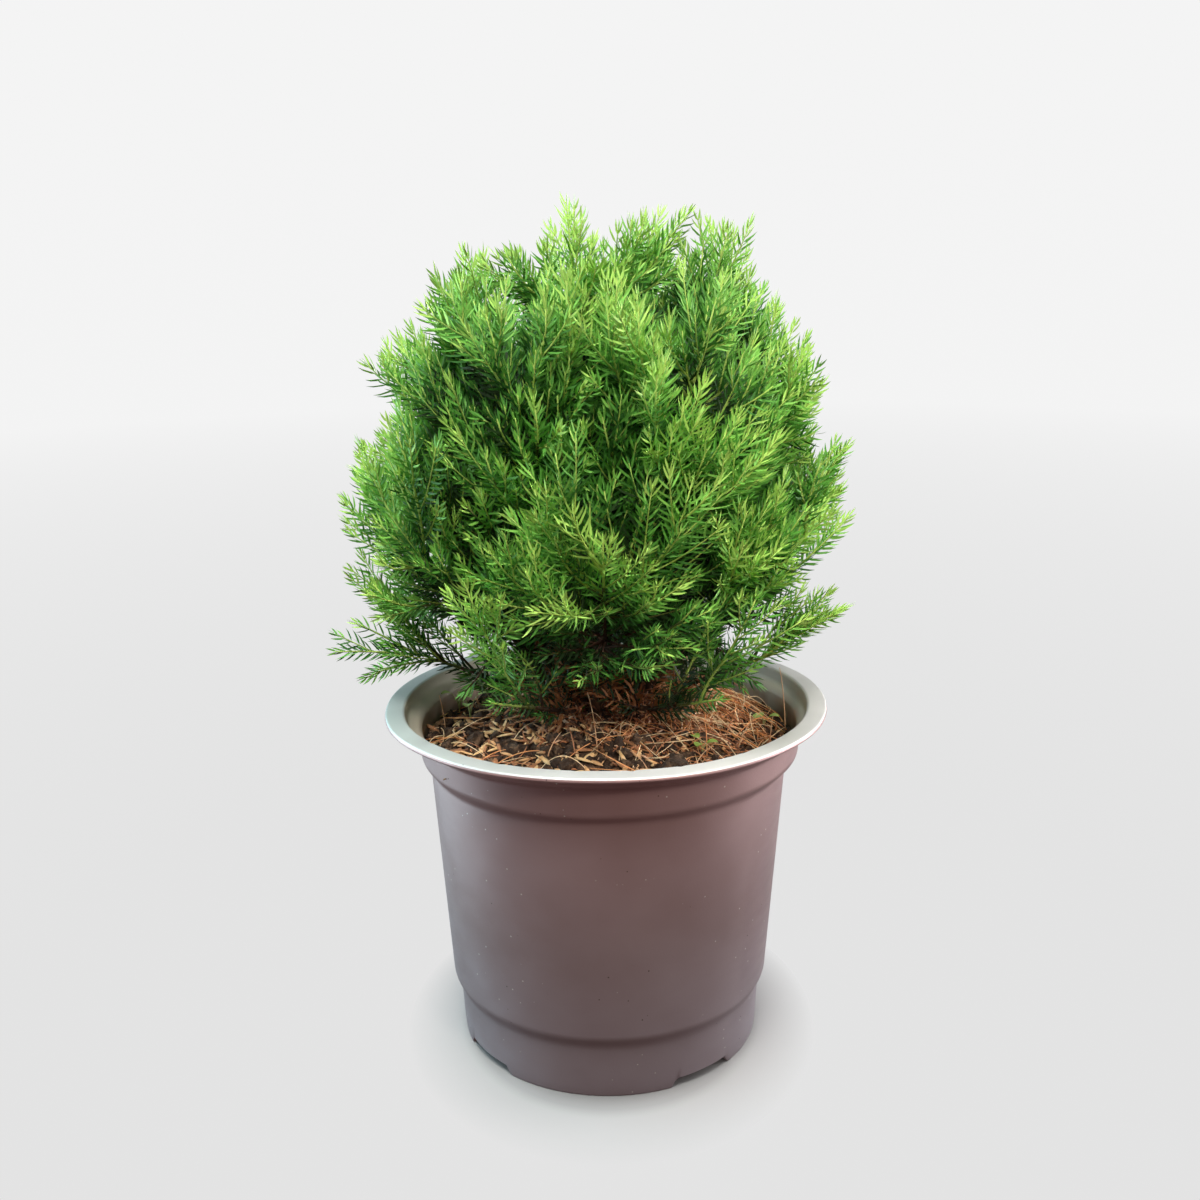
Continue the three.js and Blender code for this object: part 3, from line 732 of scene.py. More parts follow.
def add_limb(name, path, radii, sides, node_name, flare=0.0, seed=0):
    """A tapering limb with furrowed bark, level where it stands on the soil."""
    ahead = unit(np.gradient(path, axis=0))
    side = unit(np.cross(ahead, (0, 1, 0)))
    over = np.cross(ahead, side)
    turn = round_turn(sides)
    run = np.concatenate([[0], np.cumsum(np.linalg.norm(np.diff(path, axis=0), axis=1))])
    ring = np.cos(turn)[:, None] * side[:, None] + np.sin(turn)[:, None] * over[:, None]
    # Noise stretched along the limb makes the furrows, and a little of it even makes the knots.
    around = np.stack([np.cos(turn), np.sin(turn)], axis=-1)[None] * radii[:, None, None]
    around = np.concatenate([around, np.broadcast_to(run[:, None, None] * 0.2, (*around.shape[:2], 1))], -1)
    furrow = lumps(around, 0.8, seed + 5) * 0.07 + lumps(around, 2.0, seed + 6) * 0.08
    knots = lumps(np.stack([run * 0 + seed, run * 0, run], axis=-1), 5, seed + 7) * 0.07
    lobes = np.cos(turn * 4 + seed)[None] * (flare * np.exp(-run / 4))[:, None]
    size = radii[:, None] * (1 + furrow + knots[:, None] + lobes)
    points = path[:, None] + ring * size[..., None]
    points = np.concatenate([points.reshape(-1, 3), path[:1], path[-1:]])
    limb = add_piece(name, points, wrapped(len(path), sides), [bark])
    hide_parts(node_name)


limb_paths = []  # for the foliage and the dry needles to find the limbs
path, sizes = through(TRUNK_PATH, TRUNK_RADII, BARK_RING)
add_limb("trunk_bark", path, sizes, 28, "trunk", 0.14)
limb_paths.append(path)


def limb_to(mass, root, thick, flare):
    """The centre line and radii of a limb that ends at its mass, in the mass's direction."""
    tip = mass["foot"]
    span = np.linalg.norm(root - tip)
    knee = tip - mass["direction"] * 0.5 * span
    t = np.linspace(0, 1, max(8, int(span / BARK_RING)))[None]
    path = bezier(root[None], knee[None], tip[None], t)[0]
    radii = thick[0] + (thick[1] - thick[0]) * t[0]
    radii = radii * (1 + flare * np.exp(-t[0] * span / 3.5))
    sway = ease(t[0], 0, 0.3) * ease(1 - t[0], 0, 0.3)
    wander = np.stack([lumps(path + 40 * axis, 16, 9) for axis in (1, 2, 3)], axis=-1)
    return path + wander * sway[:, None] * 1.2, radii


for number, mass in enumerate(masses[:-1]):  # the trunk itself carries the top
    kind, height, thick, flare = LIMBS[mass["tier"]]
    if height is None:
        root = TRUNK_PATH[0] + unit(mass["direction"] * (1, 1, 0)) * STEM_FOOT_CIRCLE
    else:
        root = np.array([np.interp(height, TRUNK_PATH[:, 2], TRUNK_PATH[:, k]) for k in range(3)])
    path, sizes = limb_to(mass, root, thick, flare)
    label = f"{kind}_{mass['name'].split('_')[-1]}"
    add_limb(f"{label}_bark", path, sizes, 18, label, 0.1 if flare else 0.0, number)
    limb_paths.append(path)

# Dry rust-coloured needles, fallen round the stems or still caught on their feet and on the low boughs.
rng = np.random.RandomState(23)
x, y = strewn(rng, (1500, (-4, 2), 15), (700, (20, -8), 15), (300,))
fallen = np.stack([x, y, crumbly_height(x, y) + rng.uniform(0.3, 2.2, len(x))], axis=-1)
caught = []
CAUGHT_BELOW, CAUGHT_WITHIN = 152, 48
for path in limb_paths:
    near = path[(path[:, 2] < CAUGHT_BELOW) & (np.hypot(path[:, 0], path[:, 1]) < CAUGHT_WITHIN)]
    if len(near):
        pick = near[rng.randint(0, len(near), 5 * len(near) // 2)]
        caught.append(pick + unit(rng.normal(0, 1, pick.shape)) * rng.uniform(1.5, 5.5, (len(pick), 1)))
middle = np.concatenate([fallen, *caught])
way = rng.normal(0, 1, middle.shape) * (1, 1, 0.45)
half = unit(way) * rng.uniform(1.4, 2.9, (len(middle), 1))
bow = unit(rng.normal(0, 1, middle.shape)) * 0.5
t = np.tile(np.linspace(0, 1, 4), (len(middle), 1))
paths = bezier(middle - half, middle + bow, middle + half, t)
points, faces, each = tubes(paths, np.tile([0.2, 0.42, 0.36, 0.08], (len(middle), 1)), 3)
litter_finishes = [
    dry_finish("litter_rust", (0.42, 0.15, 0.06), (0.62, 0.26, 0.12), 300, 0.75),
    dry_finish("litter_brown", (0.16, 0.065, 0.032), (0.3, 0.13, 0.065), 300, 0.8),
    dry_finish("litter_pale", (0.6, 0.34, 0.2), (0.8, 0.52, 0.34), 300, 0.75),
]
tones = np.repeat(rng.choice(3, len(middle), p=(0.4, 0.42, 0.18)), each)
add_piece("dry_needles", points, faces, litter_finishes, tones)

# A few seedlings have come up in the soil, with round or grassy leaves, and some dry stalks stand in it.
SEEDLINGS = [  # foot, height, turn and kind of each
    (-51, 11, 9, 0.4, "round"), (-46, 40, 11, 2.0, "round"), (-57, 28, 8, 3.5, "round"),
    (-44, 22, 8, 5.0, "round"), (-9, -12, 7, 1.0, "grass"), (33, -34, 5, 2.2, "round"),
    (58, -2, 5, 4.0, "round"),
]
DRY_STALKS = [  # foot, height of rise and lean of each
    (-3, -38, 21, -3, 0), (66, -2, 24, -2, 4), (58, -19, 12, 1, 0), (56, 20, 11, -5, 0),
    (46, -26, 13, 8, 3), (-20, -40, 9, 5, 3), (-60, 6, 13, -2, 2), (30, -42, 8, 7, 1), (14, -48, 7, -6, 2),
]


def in_soil(x, y):
    """A foot just below the soil's surface."""
    return np.array([x, y, soil_height(x, y) - 0.5])


stalks, leaves = [], []
for x, y, tall, turn, kind in SEEDLINGS:
    foot = in_soil(x, y)
    for k in range(5 if kind == "grass" else 3):
        a = turn + k * (1.26 if kind == "grass" else 2.1)
        out = np.array([math.cos(a), math.sin(a), 0])
        rise = tall * (1 - 0.13 * k)
        if kind == "grass":
            leaves.append((foot, foot + (0, 0, rise * 0.6), foot + out * rise * 0.7 + (0, 0, rise), 0.8))
        else:
            head = foot + out * rise * 0.35 + (0, 0, rise)
            stalks.append((foot, foot + (0, 0, rise * 0.6), head, 0.3))
            leaves.append((head, head + out * 2.2 + (0, 0, 0.9), head + out * 4.4 + (0, 0, 0.2), 1.75))
blades, blade_faces = [], []
outline = np.array([0.0, 0.62, 0.95, 1.0, 0.72, 0.0])
for foot, knee, end, wide in leaves:
    t = np.linspace(0, 1, 6)[None]
    ridge = bezier(*(np.array(p, float)[None] for p in (foot, knee, end)), t)[0]
    flank = unit(np.cross(ridge[-1] - ridge[0], (0.05, 0.02, 1.0))) * wide
    edge = flank * outline[:, None] + np.array([0, 0, 0.3]) * outline[:, None] * wide
    start = sum(len(b) for b in blades)
    blades.append(np.concatenate([ridge, ridge + edge, ridge + edge * (-1, -1, 1)]))
    for i in range(5):
        for offset, flip in ((6, 1), (12, -1)):
            quad = [(i, i + 1, i + 1 + offset), (i, i + 1 + offset, i + offset)]
            blade_faces += [tuple(start + n for n in f[::flip]) for f in quad]
leaf_finish = dry_finish("seedling_green", (0.2, 0.36, 0.05), (0.42, 0.58, 0.13), 260, 0.45)
add_piece("seedling_leaves", np.concatenate(blades), np.array(blade_faces), [leaf_finish])
for x, y, tall, lean_x, lean_y in DRY_STALKS:
    foot = in_soil(x, y)
    knee = foot + (lean_x * 0.2, lean_y * 0.2, tall * 0.6)
    stalks.append((foot, knee, foot + (lean_x, lean_y, tall), 0.22))
stalks = [tuple(np.array(p, float) for p in s[:3]) + (s[3],) for s in stalks]
t = np.tile(np.linspace(0, 1, 8), (len(stalks), 1))
paths = bezier(*(np.array([s[k] for s in stalks]) for k in range(3)), t)
radii = np.array([s[3] for s in stalks])[:, None] * (1.1 - 0.6 * t)
points, faces, each = tubes(paths, radii, 5)
tones = np.repeat(np.arange(len(stalks)) >= len(stalks) - len(DRY_STALKS), each)
stalk_finishes = [
    dry_finish("stalk_green", (0.3, 0.36, 0.12), (0.5, 0.52, 0.22), 300, 0.6),
    dry_finish("stalk_dry", (0.62, 0.32, 0.16), (0.85, 0.56, 0.34), 300, 0.7),
]
add_piece("seedling_stalks", points, faces, stalk_finishes, tones)

# ---- Foliage ----
# Juvenile, awl-shaped needles on slender green twigs. Feathery plumes fan out of each bough and turn up
# toward their tips, with side twigs all along. New needles at the twig ends are bright yellow-green; beyond
# that the needle colour is painted light and shade, lighter outside and higher up and deep green to near
# black inside the crown.
CROWN_FLOOR = 130.5
CROWN_TIPS = 700  # evenly spread over the whole ellipsoid, of which the underside stays empty
INNER_SHARE, INNER_DEPTH, OUTER_DEPTH = 0.42, (0.4, 0.84), (0.83, 0.94)
LEADER_EACH, LEADER_SIDE, LEADER_DEPTH = 8, 0.42, (0.95, 0.99)  # one tip in eight, at front and back
POCKET_DEPTH, POCKET_BREADTH, POCKET_LENGTH = 0.2, 15, 0.3  # of the deeper places between the plumes
THIN_BELOW = 172
LEADERS = [  # the tips of the longest shoots to the left, at the top and to the right
    (-88, 2, 136), (-97, -4, 148), (-90, 2, 157), (-85, 6, 166), (-87, 4, 182), (-90, -2, 203),
    (-85, -6, 212), (-83, 2, 221), (-71, 0, 246), (-66, 6, 250), (-60, -4, 258), (-53, -6, 274),
    (-47, 4, 280), (-40, 0, 284), (-27, 0, 286), (-19, -3, 287), (-8, 2, 301), (-2, 2, 289),
    (2, 7, 288), (9, 4, 289), (15, -6, 296), (20, 4, 292), (28, 5, 297), (35, -6, 289), (42, -3, 293),
    (46, 2, 291), (50, 2, 274), (50, -4, 264), (57, 3, 252), (70, -5, 248), (71, 4, 236), (86, 0, 219),
    (84, 5, 208), (86, -6, 195), (82, 3, 166), (78, -4, 163), (72, 5, 166), (82, -6, 160), (70, 4, 158),
]
OPEN_AIR = [  # a gap, a corner above the rim and a notch: side, distance from the middle, heights
    (1, 66, 172, 188), (1, 54, 0, 155), (-1, 68, 229, 245),
]
LEAVE = math.radians(34)  # the angle at which shoots leave a stem
SHOOT_EVERY, SHORTEST_SHOOT = 6.2, 13
FRONT_LIFT, FRONT_WIDTH = 19, 60  # the underside is higher over the middle of the front
TWIG_EVERY, TWIG_SHORTEST, TWIG_LONGEST = 5.4, 3.6, 31
SPARSE_BELOW, SPARSE_LEFT_OF = 170, -35  # low to the left there are fewer twigs
FINE_FROM, FINE_SHARE, FINE_EVERY, FINE_LONGEST = 17, 0.3, 5.6, 10  # the twigs on long twigs
CLEAN_END = 13  # the newest part of a shoot hasn't branched yet
INTERLACE = 7.0  # how far twigs may reach in among their neighbours'
PAIR_EVERY, NEEDLE_LENGTH, NEEDLE_WIDTH = 1.32, 7.4, 0.72
NEW_GROWTH = 4.5  # the length of bright new growth at the end of a twig
RAGGED = 9  # how far the underside rises here and there
LIMB_SHOOT_EVERY, LIMB_SHOOTS = 1.7, (130, 185)  # short shoots along the limbs, and their heights


def leaf_green(name, colour, roughness=0.5):
    """A plain leaf colour with a waxy, finely pitted surface."""
    plain = {"Base_Color": (*colour, 1), "Roughness": roughness, "Specular_IOR_Level": 0.32}
    material, shader = new_finish(name, **plain)
    pits = noise(material, 900, 2)
    link(material, spread(material, pits, 0.3, 0.7, roughness - 0.08, roughness + 0.1), shader, "Roughness")
    relief(material, shader, pits, 0.0001, 0.4)
    return material


# Five greens from light to dark: the lightest also stand for new growth, and the rest are lit and shaded
# copies, the deep and shade greens painted shade inside the crown.
needle_finishes = [
    leaf_green("needle_tip", (0.41, 0.68, 0.14)),
    leaf_green("needle_fresh", (0.21, 0.5, 0.085)),
    leaf_green("needle_green", (0.1, 0.315, 0.045)),
    leaf_green("needle_deep", (0.036, 0.145, 0.02)),
    leaf_green("needle_shade", (0.015, 0.042, 0.009)),
    leaf_green("needle_dry", (0.36, 0.15, 0.06), 0.8),
]
twig_finishes = [
    leaf_green("twig_green", (0.36, 0.5, 0.1), 0.6),
    leaf_green("twig_olive", (0.1, 0.12, 0.03), 0.7),
    leaf_green("twig_brown", (0.07, 0.035, 0.02), 0.8),
]
directions = np.array([mass["direction"] for mass in masses])


def underside(points):
    """Height of the crown's underside: just above the rim, and higher over the middle of the front."""
    front = ease(-points[..., 1], 5, 55)
    front = front * (1 - ease(np.abs(points[..., 0]), 0.4 * FRONT_WIDTH, FRONT_WIDTH))
    return CROWN_FLOOR + FRONT_LIFT * front + RAGGED * np.maximum(lumps(points, 17, 4), 0)


def room_in(owner, points, slack=0.0):
    """True where points lie in a mass's own cone, give or take the slack, and neither below the crown nor
    where it lets air through."""
    toward = directions[owner] - np.delete(directions, owner, axis=0)
    clear = (points - FAN) @ toward.T + slack * np.linalg.norm(toward, axis=1)
    x, z = points[..., 0], points[..., 2]
    air = [(side * x > out) & (z > low) & (z < high) for side, out, low, high in OPEN_AIR]
    return (clear > 0).all(axis=-1) & (z > underside(points) + 0.8) & ~np.any(air, axis=0)


def one_curve(root, knee, tip, t):
    """Points along a single curve."""
    return bezier(root[None], knee[None], tip[None], t[None])[0]


def heading(root, knee, tip, t):
    """The way that curves run, at a place on each."""
    return unit((1 - t)[:, None] * (knee - root) + t[:, None] * (tip - knee))


rng = np.random.RandomState(7)
golden = math.pi * (3 - math.sqrt(5))
number = np.arange(CROWN_TIPS)
up = 1 - 2 * (number + 0.5) / CROWN_TIPS
around = np.sqrt(1 - up * up)
spots = np.stack([around * np.cos(number * golden), around * np.sin(number * golden), up], axis=-1)
inner = rng.uniform(0, 1, CROWN_TIPS) < INNER_SHARE
part = rng.uniform(0, 1, CROWN_TIPS)
deep, shallow, leading = (
    low + part * (high - low) for low, high in (INNER_DEPTH, OUTER_DEPTH, LEADER_DEPTH)
)
leads = (number % LEADER_EACH == 0) & (np.abs(spots[:, 1]) > LEADER_SIDE)
depth = np.where(leads, leading, np.where(inner, deep, shallow))
tips = spots * CROWN_RADII * depth[:, None] + CROWN_CENTRE
# Pockets between upright plumes lie deeper. Low down the crown is thin, most of all at the sides and in
# front of the stems.
hollow = -lumps(tips * (1, 1, POCKET_LENGTH), POCKET_BREADTH, 21)
tips = tips - (tips - CROWN_CENTRE) * (POCKET_DEPTH * ease(hollow, 0.0, 0.24)[:, None])
to_side = ease(np.abs(tips[:, 0]), 25, 55)
to_stems = (tips[:, 1] < -15) * (1 - ease(np.abs(tips[:, 0] - 2), 12, 26))
bare = 0.22 + 0.42 * to_side + 0.4 * to_stems + 0.3 * ease(-tips[:, 0], 20, 45)
thin = (tips[:, 2] < THIN_BELOW) & (rng.uniform(0, 1, CROWN_TIPS) < bare)
tips = np.concatenate([tips[~thin], LEADERS])
owner_of = np.argmax((tips - FAN) @ directions.T, axis=1)


def plume_to(index, tip, rng):
    """A shoot's curve from its mass's stem to a tip, by the rule that the whole crown follows."""
    mass = masses[index]
    along = (tip - FAN) @ mass["direction"]
    beside = np.linalg.norm(tip - FAN - along * mass["direction"])
    back = beside / math.tan(LEAVE)
    lowest = mass["start"] + 1 + SHOOT_EVERY * rng.uniform()
    highest = mass["length"] - SHOOT_EVERY * (2.5 + rng.uniform())
    root = FAN + mass["direction"] * np.clip(along - back, lowest, max(lowest, highest))
    lift = ease(tip[2], 128, 180)
    end = unit(tip - CROWN_CENTRE) * (1 - 0.55 * lift) + np.array([0, 0, 0.1 + 0.85 * lift])
    knee = tip - unit(end) * 0.5 * np.linalg.norm(root - tip)
    middle = (root + tip) / 2
    for _ in range(4):
        if not room_in(index, knee[None])[0]:
            knee = (knee + middle) / 2
    return root, knee, tip


def side_twigs(root, knee, tip, first, every, share, longest, rng, roll):
    """Twigs to both sides of a shoot, longest below its middle, a few of them to its front and back."""
    steps = one_curve(root, knee, tip, np.linspace(0, 1, 12))
    length = np.linalg.norm(np.diff(steps, axis=0), axis=1).sum()
    s = np.arange(first * length, length - min(CLEAN_END, 0.4 * length), every)
    if len(s) == 0:
        return np.zeros((0, 3, 3))
    s = s + rng.uniform(-0.8, 0.8, len(s))
    t = np.clip(s / length, 0, 1)
    at = one_curve(root, knee, tip, t)
    ahead = heading(root, knee, tip, t)
    outward = at - CROWN_CENTRE
    face = unit(outward - ahead * (outward * ahead).sum(-1, keepdims=True))
    flank = np.cross(ahead, face)
    kind = np.arange(len(s))
    angle = np.where(kind % 2 == 0, 0.0, math.pi) + rng.normal(0, 0.26, len(s)) + roll
    angle = np.where(kind % 7 == 3, math.pi / 2 + rng.normal(0, 0.4, len(s)), angle)
    angle = np.where(kind % 11 == 7, -math.pi / 2 + rng.normal(0, 0.4, len(s)), angle)
    beside = np.cos(angle)[:, None] * flank + np.sin(angle)[:, None] * face
    lean = np.radians(37 - 8 * t + rng.normal(0, 3.5, len(s)))[:, None]
    way = np.cos(lean) * ahead + np.sin(lean) * beside
    full = ease(t, first - 0.25, 0.38) * (1 - 0.8 * ease(t, 0.2, 1.12))
    size = np.minimum(share * length, longest) * full * rng.uniform(0.8, 1.18, len(s))
    size = np.where(np.isin(kind % 11, (3, 7, 8)), size * 0.7, size)
    size = np.maximum(size, TWIG_SHORTEST)[:, None]
    knees = at + way * size * 0.5
    upward = 0.04 + 0.2 * ease(at[:, 2], 160, 210)
    ends = at + way * size + ahead * size * 0.17 + np.array([0, 0, 1]) * upward[:, None] * size
    return np.stack([at, knees, ends], axis=1)


def keep_in(index, twigs):
    """Twigs shortened, or left out, where they would reach too far in among the neighbours."""
    kept = []
    for share in (1.0, 0.75, 0.5):
        ends = twigs[:, 0] + (twigs[:, 2] - twigs[:, 0]) * share
        fits = room_in(index, ends, INTERLACE)
        short = twigs[fits].copy()
        short[:, 1] = short[:, 0] + (short[:, 1] - short[:, 0]) * share
        short[:, 2] = ends[fits]
        kept.append(short)
        twigs = twigs[~fits]
    return np.concatenate(kept)


def limb_shoots(index, rng):
    """Short dim shoots along the limb that carries a mass."""
    path = limb_paths[(index + 1) % len(masses)]
    places = path[(path[:, 2] > LIMB_SHOOTS[0]) & (path[:, 2] < LIMB_SHOOTS[1])]
    ahead = unit(np.gradient(places, axis=0))
    picked = rng.choice(len(places), int(len(places) * BARK_RING / LIMB_SHOOT_EVERY))
    way = unit(rng.normal(0, 1, (len(picked), 3)) * (1, 1, 0.5)) + 0.7 * ahead[picked] + (0, 0, 0.3)
    size = rng.uniform(9, 24, len(picked))[:, None]
    start, end = places[picked], places[picked] + unit(way) * size
    end[:, 2] = np.maximum(end[:, 2], 133)
    return np.stack([start, (start + end) / 2 - (0, 0, 0.8), end], axis=1)


def grow(index, rng):
    """All curves of one mass: its stem, its plumes, their side twigs and some finer ones."""
    mass = masses[index]
    end = FAN + mass["direction"] * (mass["length"] - 5)
    shoots = [(mass["foot"], (mass["foot"] + end) / 2, end)]
    for tip in tips[owner_of == index]:
        if not room_in(index, tip[None], 1.0)[0]:
            continue
        shoot = plume_to(index, tip, rng)
        if np.linalg.norm(shoot[2] - shoot[0]) > SHORTEST_SHOOT:
            shoots.append(shoot)
    curves, ranks, sprays = [np.array(shoots)], [np.zeros(len(shoots), int)], [np.arange(len(shoots))]

    def add(more, rank, spray):
        curves.append(more)
        ranks.append(np.full(len(more), rank))
        sprays.append(np.full(len(more), spray))

    for spray, (root, knee, tip) in enumerate(shoots):
        first = 0.12 if spray == 0 else 0.2
        every = TWIG_EVERY * (1.5 - 0.5 * ease(tip[2], 150, 190))
        if tip[0] < SPARSE_LEFT_OF and tip[2] < SPARSE_BELOW:
            every *= 1.4
        twigs = side_twigs(root, knee, tip, first, every, 0.5, TWIG_LONGEST, rng, rng.normal(0, 0.25))
        twigs = keep_in(index, twigs)
        add(twigs, 1, spray)
        for twig in twigs:
            if np.linalg.norm(twig[2] - twig[0]) > FINE_FROM and rng.uniform() < FINE_SHARE:
                fine = side_twigs(*twig, 0.3, FINE_EVERY, 0.38, FINE_LONGEST, rng, 0.0)
                add(keep_in(index, fine), 2, spray)
    add(limb_shoots(index, rng), 1, 0)
    return np.concatenate(curves), np.concatenate(ranks), np.concatenate(sprays)


def curve_lengths(curves):
    """The length of each curve."""
    steps = bezier(*curves.transpose(1, 0, 2), np.tile(np.linspace(0, 1, 9), (len(curves), 1)))
    return np.linalg.norm(np.diff(steps, axis=1), axis=-1).sum(axis=1)


def twig_mesh(curves, ranks, length):
    """Three-sided twigs that taper, thickest for the mass's own stem."""
    thick = np.choose(ranks, [0.62, 0.36, 0.28])
    thin = np.choose(ranks, [0.26, 0.2, 0.18])
    thick = np.where(np.arange(len(ranks)) == 0, 1.0, thick)
    t = np.tile(np.linspace(0, 1, 6), (len(curves), 1))
    paths = bezier(*curves.transpose(1, 0, 2), t)
    points, faces, each = tubes(paths, thick[:, None] + (thin - thick)[:, None] * t, 3)
    # Woody brown inside the crown, olive on the way out and yellow-green where the twig is new.
    at = points[faces[:, 0]]
    young = np.linalg.norm(at - FAN, axis=1) / length + 0.1 * np.repeat(ranks > 0, each)
    return points, faces, 2 - np.searchsorted((0.56, 0.7), young)


def needle_mesh(curves, ranks, sprays, lengths, rng):
    """Slim needles in pairs: one pair to the sides of the twig, the next to its face and back."""
    first = np.choose(ranks, [0.14, 0.03, 0.03])
    pairs = np.maximum((lengths * (1 - first) / PAIR_EVERY).astype(int), 4)
    owner = np.repeat(np.arange(len(curves)), pairs)
    order = np.arange(len(owner)) - np.repeat(np.cumsum(pairs) - pairs, pairs)
    v = (order + rng.uniform(0.35, 0.65, len(owner))) / pairs[owner]
    v = 1 - (1 - v) ** 1.1
    owner, order, v = (np.repeat(a, 2) for a in (owner, order, v))
    t = first[owner] + (1 - first[owner]) * v
    root, knee, tip = (curves[owner, k] for k in range(3))
    at = bezier(root, knee, tip, t[:, None])[:, 0]
    count = len(owner)
    ahead = heading(root, knee, tip, t)
    side = unit(np.cross(ahead, at - CROWN_CENTRE))
    over = np.cross(ahead, side)
    across = order % 2 == 1
    twist = rng.normal(0, 0.25, len(curves))[owner]
    angle = np.where(across, math.pi / 2, 0) + math.pi * (np.arange(count) % 2) + twist
    angle = angle + rng.normal(0, 0.18, count)
    out = np.cos(angle)[:, None] * side + np.sin(angle)[:, None] * over
    to_end = (1 - t) * lengths[owner]
    lean = np.radians(14 + 30 * ease(to_end, 0, 8) + rng.normal(0, 3.5, count))[:, None]
    way = np.cos(lean) * ahead + np.sin(lean) * out
    size = NEEDLE_LENGTH * (0.62 + 0.38 * ease(to_end, 0, 6)) * rng.uniform(0.9, 1.07, count)
    size = (size * np.choose(ranks[owner], [1.0, 1.0, 0.85]) * np.where(across, 0.78, 1.0))[:, None]
    base = at + out * 0.15
    outer = np.linalg.norm((at - CROWN_CENTRE) / CROWN_RADII, axis=1)
    old = 1 - ease(outer, 0.5, 0.82)  # the oldest needles, inside, are the broadest
    flat = unit(np.cross(ahead, out))
    rolled = rng.normal(0, 0.4, count)[:, None]
    broad = np.cos(rolled) * unit(np.cross(way, flat)) + np.sin(rolled) * flat
    broad = broad * (NEEDLE_WIDTH * (0.5 + 0.28 * old))[:, None]
    low, high = (base + way * size * share + out * size * 0.02 for share in (0.24, 0.68))
    end = base + way * size + ahead * size * 0.07
    outline = [base, low + broad, low - broad, high + broad * 0.8, high - broad * 0.8, end]
    points = np.stack(outline, axis=1)
    each = np.array([(0, 2, 1), (1, 2, 4), (1, 4, 3), (3, 4, 5)])
    faces = each[None] + (np.arange(count) * 6)[:, None, None]
    # Colours are dealt out by spray. Toward the ends of the twigs the needles are newer and lighter;
    # lighter outside and higher up, and darkest deep inside, is painted light and shade.
    spray_luck = np.random.RandomState(len(curves)).normal(0, 0.125, sprays.max() + 1)[sprays]
    twig_luck = rng.normal(0, 0.06, len(curves))
    light = 0.6 * ease(outer, 0.56, 1.0) + 0.25 * ease(at[:, 2], 138, 200) - 0.1
    light += np.where(to_end < NEW_GROWTH, 0.2, 0.0) + 0.12 * v
    light += (spray_luck + twig_luck)[owner] + rng.normal(0, 0.05, count)
    tone = 4 - np.searchsorted((0.23, 0.42, 0.62, 0.85), light)
    inside = (np.linalg.norm(at - FAN, axis=1) < 38) & (outer < 0.8)
    withered = inside & (rng.uniform(0, 1, count) < 0.66 - 0.62 * ease(at[:, 2], 132, 154))
    tone = np.where(withered, 5, tone)
    return points.reshape(-1, 3), faces.reshape(-1, 3), np.repeat(tone, 4)


for index, mass in enumerate(masses):
    rng = np.random.RandomState(100 + index)
    curves, ranks, sprays = grow(index, rng)
    lengths = curve_lengths(curves)
    points, faces, tones = twig_mesh(curves, ranks, mass["length"])
    name = f"foliage_{mass['name']}"
    twigs = add_piece(f"{name}_twigs", points, faces, twig_finishes, tones)
    points, faces, tones = needle_mesh(curves, ranks, sprays, lengths, rng)
    needles = add_piece(f"{name}_needles", points, faces, needle_finishes, tones, smooth=False)
    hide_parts(name)
    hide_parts(name)

# ---- Studio ----
# A plain pale floor that fades into a pale surround. A soft light hangs above, a cool one stands to the
# left, a white one to the right, and a narrow, faint, warm one in front.
FLOOR_PAINT, FLOOR_NEAR, FLOOR_FAR = (0.36, 0.36, 0.36), (0.77, 0.77, 0.77), (0.9, 0.9, 0.9)
FLOOR_UNDER = (0.2, 0.2, 0.2)  # in the corner under the foot, where little light reaches
SURROUND_TOP = (0.905, 0.905, 0.905)

STUDIO_RADIUS = 9  # in metres, as are the other measures here


def bare_material(name):
    """A material of which only the output is there yet."""
    material = bpy.data.materials.new(name)
    material.use_nodes = True
    material.node_tree.nodes.clear()
    return material, node(material, "OutputMaterial")


def stage_round(name, finish, *unseen_by):
    """Takes the new round shape into the studio, hidden from some kinds of light."""
    made = bpy.context.object
    made.name = name
    made.data.materials.append(finish)
    for kind in unseen_by:
        setattr(made, "visible_" + kind, False)
    return made


floor_finish, out = bare_material("floor_pale")
place = node(floor_finish, "Mapping", Vector=place_on(floor_finish), Scale=(1.18, 1, 1)).outputs[0]
far = node(floor_finish, "VectorMath", {"operation": "LENGTH"}, Vector=place).outputs["Value"]
paint = blend_colours(floor_finish, spread(floor_finish, far, 0.056, 0.068), FLOOR_UNDER, FLOOR_PAINT)
matt = node(floor_finish, "BsdfDiffuse", Color=paint).outputs[0]
shade = blend_colours(floor_finish, spread(floor_finish, far, 0.3, 2.5), FLOOR_NEAR, FLOOR_FAR)
glow = node(floor_finish, "Emission", Color=shade, Strength=1.0).outputs[0]
faded = node(floor_finish, "MixShader")
for socket, value in zip(faded.inputs, (spread(floor_finish, far, 0.063, 0.092), matt, glow)):
    floor_finish.node_tree.links.new(value, socket)
link(floor_finish, faded.outputs[0], out, "Surface")
bpy.ops.mesh.primitive_circle_add(vertices=64, radius=STUDIO_RADIUS, fill_type="NGON")
floor = stage_round("floor", floor_finish, "diffuse", "glossy")
floor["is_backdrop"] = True

surround_finish, out = bare_material("surround_pale")
height = spread(surround_finish, place_on(surround_finish, "Z"), 0, 1.8)
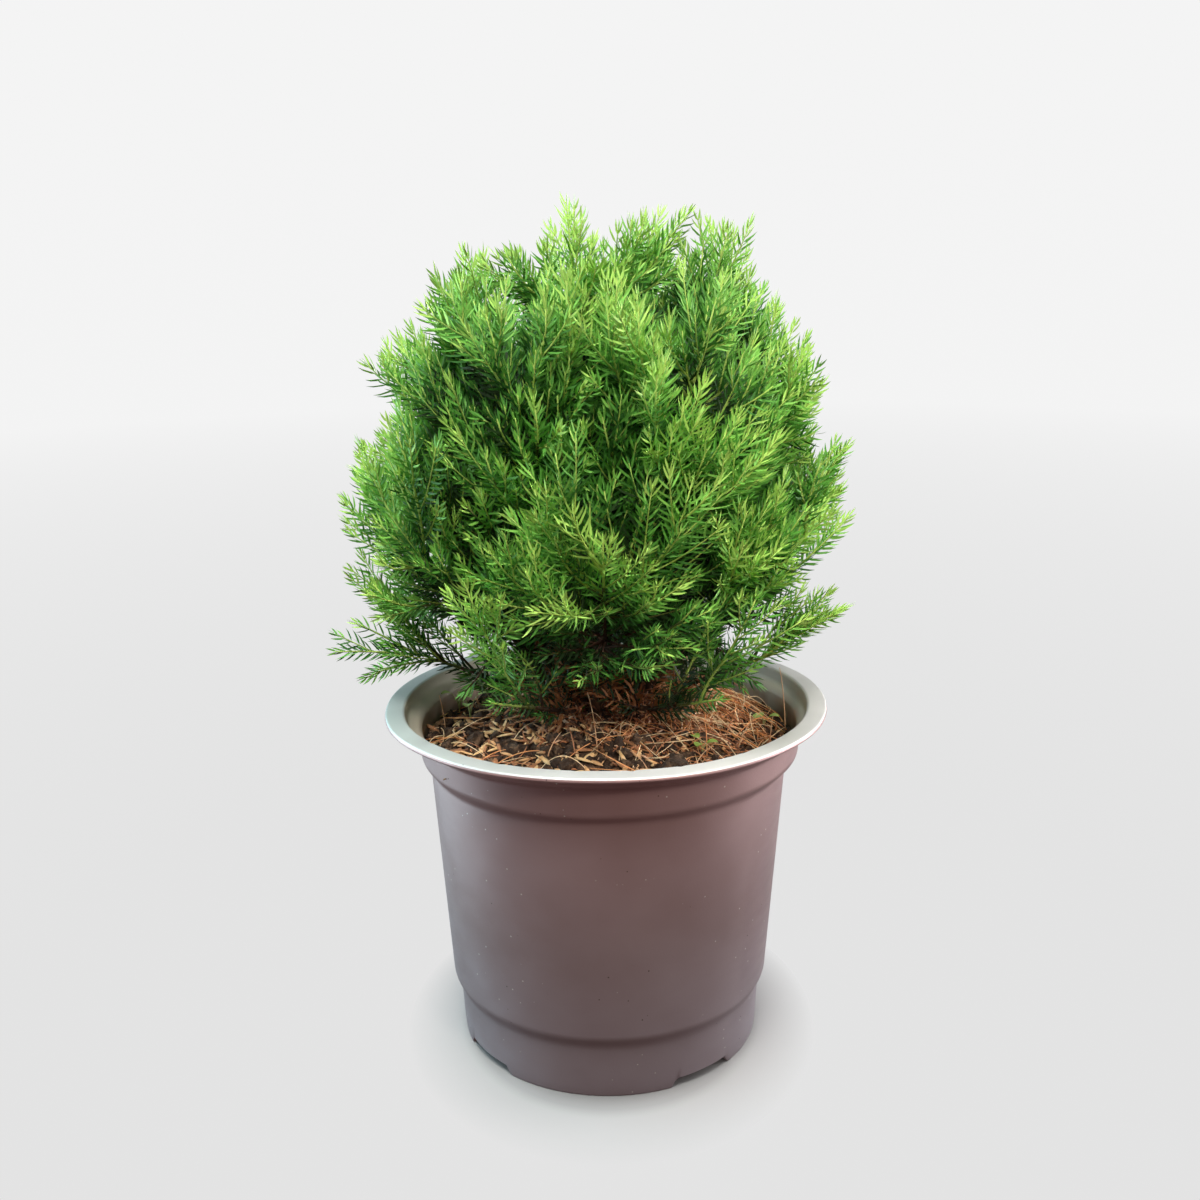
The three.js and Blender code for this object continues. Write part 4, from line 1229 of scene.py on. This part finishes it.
shade = blend_colours(surround_finish, height, FLOOR_FAR, SURROUND_TOP)
glow = node(surround_finish, "Emission", Color=shade, Strength=1.0).outputs[0]
link(surround_finish, glow, out, "Surface")
bpy.ops.mesh.primitive_uv_sphere_add(segments=48, ring_count=24, radius=STUDIO_RADIUS)
surround = stage_round("surround", surround_finish, "diffuse", "glossy", "shadow")
surround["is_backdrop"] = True

world = bpy.data.worlds.new("studio")
bpy.context.scene.world = world
world.use_nodes = True
sky = node(world, "TexCoord").outputs["Generated"]
facing = node(world, "VectorMath", {"operation": "DOT_PRODUCT"}, Vector=sky)
facing.inputs[1].default_value = (0, 0.75, 0.66)
share = spread(world, facing.outputs["Value"], -0.55, 0.6)
shade = blend_colours(world, share, (0.36, 0.24, 0.22), (0.75, 0.77, 0.8))
background = world.node_tree.nodes["Background"]
world.node_tree.links.new(shade, background.inputs["Color"])
background.inputs["Strength"].default_value = 0.45


def add_light(name, place, aim, width, height, power, colour, beam=180):
    """A soft rectangular light, aimed at a point of the plant."""
    light = bpy.data.lights.new(name, "AREA")
    light.shape = "RECTANGLE"
    light.size, light.size_y = width, height
    light.energy = power
    light.color = colour
    light.spread = math.radians(beam)
    lamp = bpy.data.objects.new(name, light)
    lamp.location = place
    lamp.rotation_euler = (Vector(aim) - Vector(place)).to_track_quat("-Z", "Y").to_euler()
    bpy.context.collection.objects.link(lamp)


add_light("light_above", (-0.15, -0.5, 1.2), (0, 0, 0.2), 0.5, 0.5, 18.4, (1, 0.99, 0.95))
add_light("light_left", (-0.75, 0.16, 0.22), (0, 0, 0.12), 0.8, 0.9, 10.5, (0.62, 0.92, 1))
add_light("light_right", (0.75, 0.16, 0.22), (0, 0, 0.12), 0.5, 0.7, 9, (1, 1, 1))
add_light("light_front", (0.32, -0.62, 0.6), (0.01, -0.03, 0.16), 0.12, 0.12, 0.08, (1, 0.9, 0.78), 24)

low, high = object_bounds()
sizes = {"cad": [list(corner) for corner in cad_box], "visual": [list(low), list(high)]}
